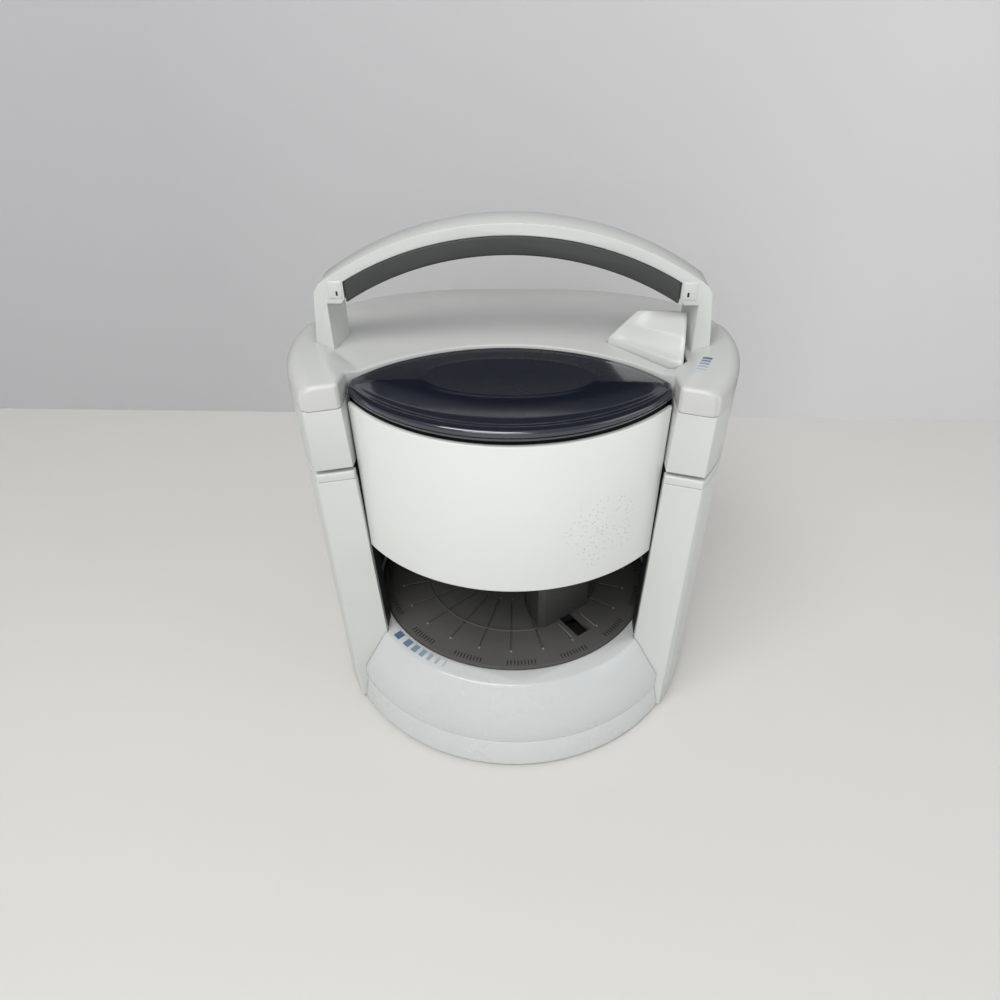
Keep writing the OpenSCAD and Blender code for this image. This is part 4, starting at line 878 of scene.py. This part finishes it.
def scale_ink():
    """Blue print that pales along a row of bars."""
    m, t, b = new_material("scale_ink")
    fade = t.add("ShaderNodeAttribute", attribute_name="fade")
    worn = t.texture("Noise", "worn print", t.add("ShaderNodeTexCoord").outputs["Object"],
                     Scale=900.0, Detail=3.0)
    tone = t.mix(fade.outputs["Fac"], srgb(38, 84, 122), srgb(176, 192, 202))
    t.link(t.mix(t.times(worn.outputs["Fac"], 0.25), tone, srgb(205, 210, 212)), b.inputs["Base Color"])
    b.inputs["Roughness"].default_value = 0.4
    return m


INK = scale_ink()
DECK_Z = 56.5                               # top of the turntable and of the ring round it
JAW_TURN, GROOVES = -51.5, 24
TICK_R, TICK_GROUPS, TICKS, TICK_STEP, TICK_START = 81.4, 16, 9, 1.42, 247.2
DOT_R, DOT_PLACE_R = 0.7, 73.0
BAR_R, BARS, BAR_STEP, BAR_START = 91.2, 7, 23.0 / 6, 223.2
SLOT_EDGES = (((29, -49.3), (37.3, -60.5)), ((42.8, -40.7), (51.5, -50.4)))
SLOT_EDGE_HALF, SLOT_EDGE_UP = 0.28, 0.12


def build_repeats():
    groove_step = 360 / GROOVES
    repeat("turntable_ticks", rounded_box((-1.6, -0.25, -0.2), (1.6, 0.25, 0.3), 0.12, 2), MAT["liner"],
           "table", "dark_plastic", Radius=TICK_R * MM, Height=DECK_Z * MM, Count=TICK_GROUPS * TICKS,
           **{"Per Group": TICKS, "Group Step": math.radians(360 / TICK_GROUPS),
              "Step": math.radians(TICK_STEP), "Start": math.radians(TICK_START), "Size Spread": 0.04})
    repeat("turntable_dots", prism_data(circle(DOT_R, 12), -0.2, 0.3), MAT["slot_edge"], "table",
           "dark_plastic", Radius=DOT_PLACE_R * MM, Height=DECK_Z * MM, Count=GROOVES,
           **{"Group Step": math.radians(groove_step), "Start": math.radians(JAW_TURN + groove_step / 2)})
    repeat("ring_scale", rounded_box((-2.6, -2.6, -0.1), (2.6, 2.6, 0.06), 0.05, 1), INK, "base",
           "white_plastic", Radius=BAR_R * MM, Height=DECK_Z * MM, Count=BARS, Ease=0.8, Taper=0.78,
           **{"Group Step": math.radians(BAR_STEP), "Start": math.radians(BAR_START)})


def build_slot_edges():
    """Light lines beside the jaw slot: partly worn rails, partly a painted highlight along the slot's edges.
    """
    for k, (p, q) in enumerate(SLOT_EDGES):
        length = math.dist(p, q)
        mx, my = between(p, q, 0.5)
        c, s = (q[0] - p[0]) / length, (q[1] - p[1]) / length
        v, f = rounded_box((-length / 2, -SLOT_EDGE_HALF, -0.3), (length / 2, SLOT_EDGE_HALF, SLOT_EDGE_UP),
                           0.1, 1)
        v = [(mx + x * c - y * s, my + x * s + y * c, DECK_Z + z) for x, y, z in v]
        new_mesh("slot_edge_%d" % k, v, f, MAT["slot_edge"], 40, "table", "dark_plastic")


SCALE_FROM, SCALE_TO, SCALE_BARS = (96.2, -31.5), (89.8, -46.0), 6
SCALE_BAR, SCALE_THINS, SCALE_WIDTH = 2.2, 0.2, 4.6      # first bar's thickness, its loss per bar, width
SCALE_ROWS, SCALE_COLS, SCALE_UP, SCALE_DOWN = 3, 5, 0.06, -0.3


def build_shoulder_scale():
    """Row of bars that lies on the right shoulder and follows its form."""
    length = math.dist(SCALE_FROM, SCALE_TO)
    ux, uy = ((b - a) / length for a, b in zip(SCALE_FROM, SCALE_TO))
    rows, cols, n = SCALE_ROWS, SCALE_COLS, SCALE_ROWS * SCALE_COLS
    grid = sheet_faces(rows, cols)
    rim = [(0, j) for j in range(cols)] + [(1, cols - 1)]
    rim += [(2, j) for j in range(cols - 1, -1, -1)] + [(1, 0)]
    verts, faces, fades = [], [], []
    for k in range(SCALE_BARS):
        share = k / (SCALE_BARS - 1)
        mx, my = between(SCALE_FROM, SCALE_TO, share)
        first = len(verts)
        for lift in (SCALE_UP, SCALE_DOWN):
            for i in range(rows):
                for j in range(cols):
                    du = (i / (rows - 1) - 0.5) * (SCALE_BAR - SCALE_THINS * k)
                    dw = (j / (cols - 1) - 0.5) * SCALE_WIDTH
                    x, y = mx + ux * du - uy * dw, my + uy * du + ux * dw
                    verts.append((x, y, cover_top(x, y) + lift))
                    fades.append(share)
        faces += [tuple(first + i for i in q) for q in grid]
        faces += [tuple(first + n + i for i in q)[::-1] for q in grid]
        ids = [first + i * cols + j for i, j in rim]
        faces += [(a, a + n, b + n, b) for a, b in zip(ids, ids[1:] + ids[:1])]
    o = new_mesh("shoulder_scale", verts, faces, INK, 40, "head", "white_plastic")
    o.data.attributes.new("fade", "FLOAT", "POINT").data.foreach_set("value", fades)


build_button()
build_lever()
build_cover()
build_knuckles()
build_repeats()
build_slot_edges()
build_shoulder_scale()


# ---------------------------------------------------------------- stage

PAPER_SIZE, BACKDROP_Y = 6, 0.295


def plane(name, spot, turn, mat):
    bpy.ops.mesh.primitive_plane_add(size=PAPER_SIZE, location=spot, rotation=turn)
    o = bpy.context.object
    o.name = name
    o.data.materials.append(mat)
    return o


def paper(name, color, rough, right_color=None, mirrored=1.0):
    """Plain paper with a slow drift; with a second colour the tone changes from left to right, as painted
    shade.
    Reflections see the paper darkened by mirrored, as if the room ended there."""
    m, t, b = new_material(name)
    where = t.add("ShaderNodeTexCoord").outputs["Object"]
    drift = t.texture("Noise", "paper drift", where, Scale=3.0, Detail=6.0)
    base = color
    if right_color:
        across = t.add("ShaderNodeSeparateXYZ")
        t.link(where, across.inputs[0])
        base = t.mix(t.remap(across.outputs["X"], -0.3, 0.3, smooth=False), color, right_color)
    base = t.mix(t.times(drift.outputs["Fac"], 0.06), base, srgb(150, 150, 150))
    glossy = t.add("ShaderNodeLightPath").outputs["Is Glossy Ray"]
    t.link(t.mix(t.times(glossy, 1.0 - mirrored), base, (0, 0, 0, 1)), b.inputs["Base Color"])
    b.inputs["Roughness"].default_value = rough
    return m


floor = plane("floor", (0, 0, 0), (0, 0, 0), paper("floor_paper", srgb(218, 216, 211), 0.5))
# the backdrop's darker left side is painted shade
backdrop = plane("backdrop", (0, BACKDROP_Y, 0), (math.radians(90), 0, 0),
                 paper("backdrop_paper", srgb(184, 184, 186), 0.7, srgb(212, 211, 212), mirrored=0.1))


def area(name, size, spot, target, power, color=(1, 1, 1)):
    """Rectangular lamp aimed at a target; metres and watts."""
    light = bpy.data.lights.new(name, "AREA")
    light.shape = "RECTANGLE"
    light.size, light.size_y = size
    light.energy = power
    light.color = color
    o = bpy.data.objects.new(name, light)
    bpy.context.collection.objects.link(o)
    o.location = spot
    o.rotation_euler = (Vector(target) - Vector(spot)).to_track_quat("-Z", "Y").to_euler()


area("key_softbox", size=(1.0, 0.7), spot=(-0.35, -0.75, 1.45), target=(0, 0, 0.1), power=13,
     color=(1.0, 0.99, 0.97))
area("right_fill", size=(1.0, 1.2), spot=(1.5, -0.5, 0.9), target=(0, 0, 0.1), power=4,
     color=(0.97, 0.98, 1.0))
area("front_fill", size=(1.2, 0.8), spot=(-0.2, -1.7, 0.9), target=(0, 0, 0.12), power=9)
world = bpy.data.worlds.new("room")
bpy.context.scene.world = world
world.use_nodes = True
room = world.node_tree.nodes["Background"].inputs
room["Color"].default_value = (0.92, 0.95, 1.0, 1)
room["Strength"].default_value = 0.45

# ---------------------------------------------------------------- camera, from the photograph's viewing angle

CAM_PLACE = Vector((0.0138, -0.3565, 0.3842))
YAW, PITCH, ROLL = -0.061, 0.650, 0.019     # radians
SENSOR, FOCAL = 36, 25.99                   # millimetres
CLIP_START = 0.02


def photo_camera():
    """A camera with the photograph's place, turn and lens."""
    look = Vector((math.sin(YAW) * math.cos(PITCH), math.cos(YAW) * math.cos(PITCH), -math.sin(PITCH)))
    level = Vector((math.cos(YAW), -math.sin(YAW), 0))
    below = look.cross(level)
    right = math.cos(ROLL) * level + math.sin(ROLL) * below
    down = -math.sin(ROLL) * level + math.cos(ROLL) * below
    cam = bpy.data.objects.new("photo_camera", bpy.data.cameras.new("photo_camera"))
    bpy.context.collection.objects.link(cam)
    rows = zip(right, -down, -look, CAM_PLACE)
    cam.matrix_world = Matrix([*rows, (0, 0, 0, 1)])
    cam.data.sensor_width = SENSOR
    cam.data.lens = FOCAL
    cam.data.clip_start = CLIP_START
    return cam


bpy.context.scene.camera = photo_camera()
bpy.context.scene.view_settings.view_transform = "Standard"
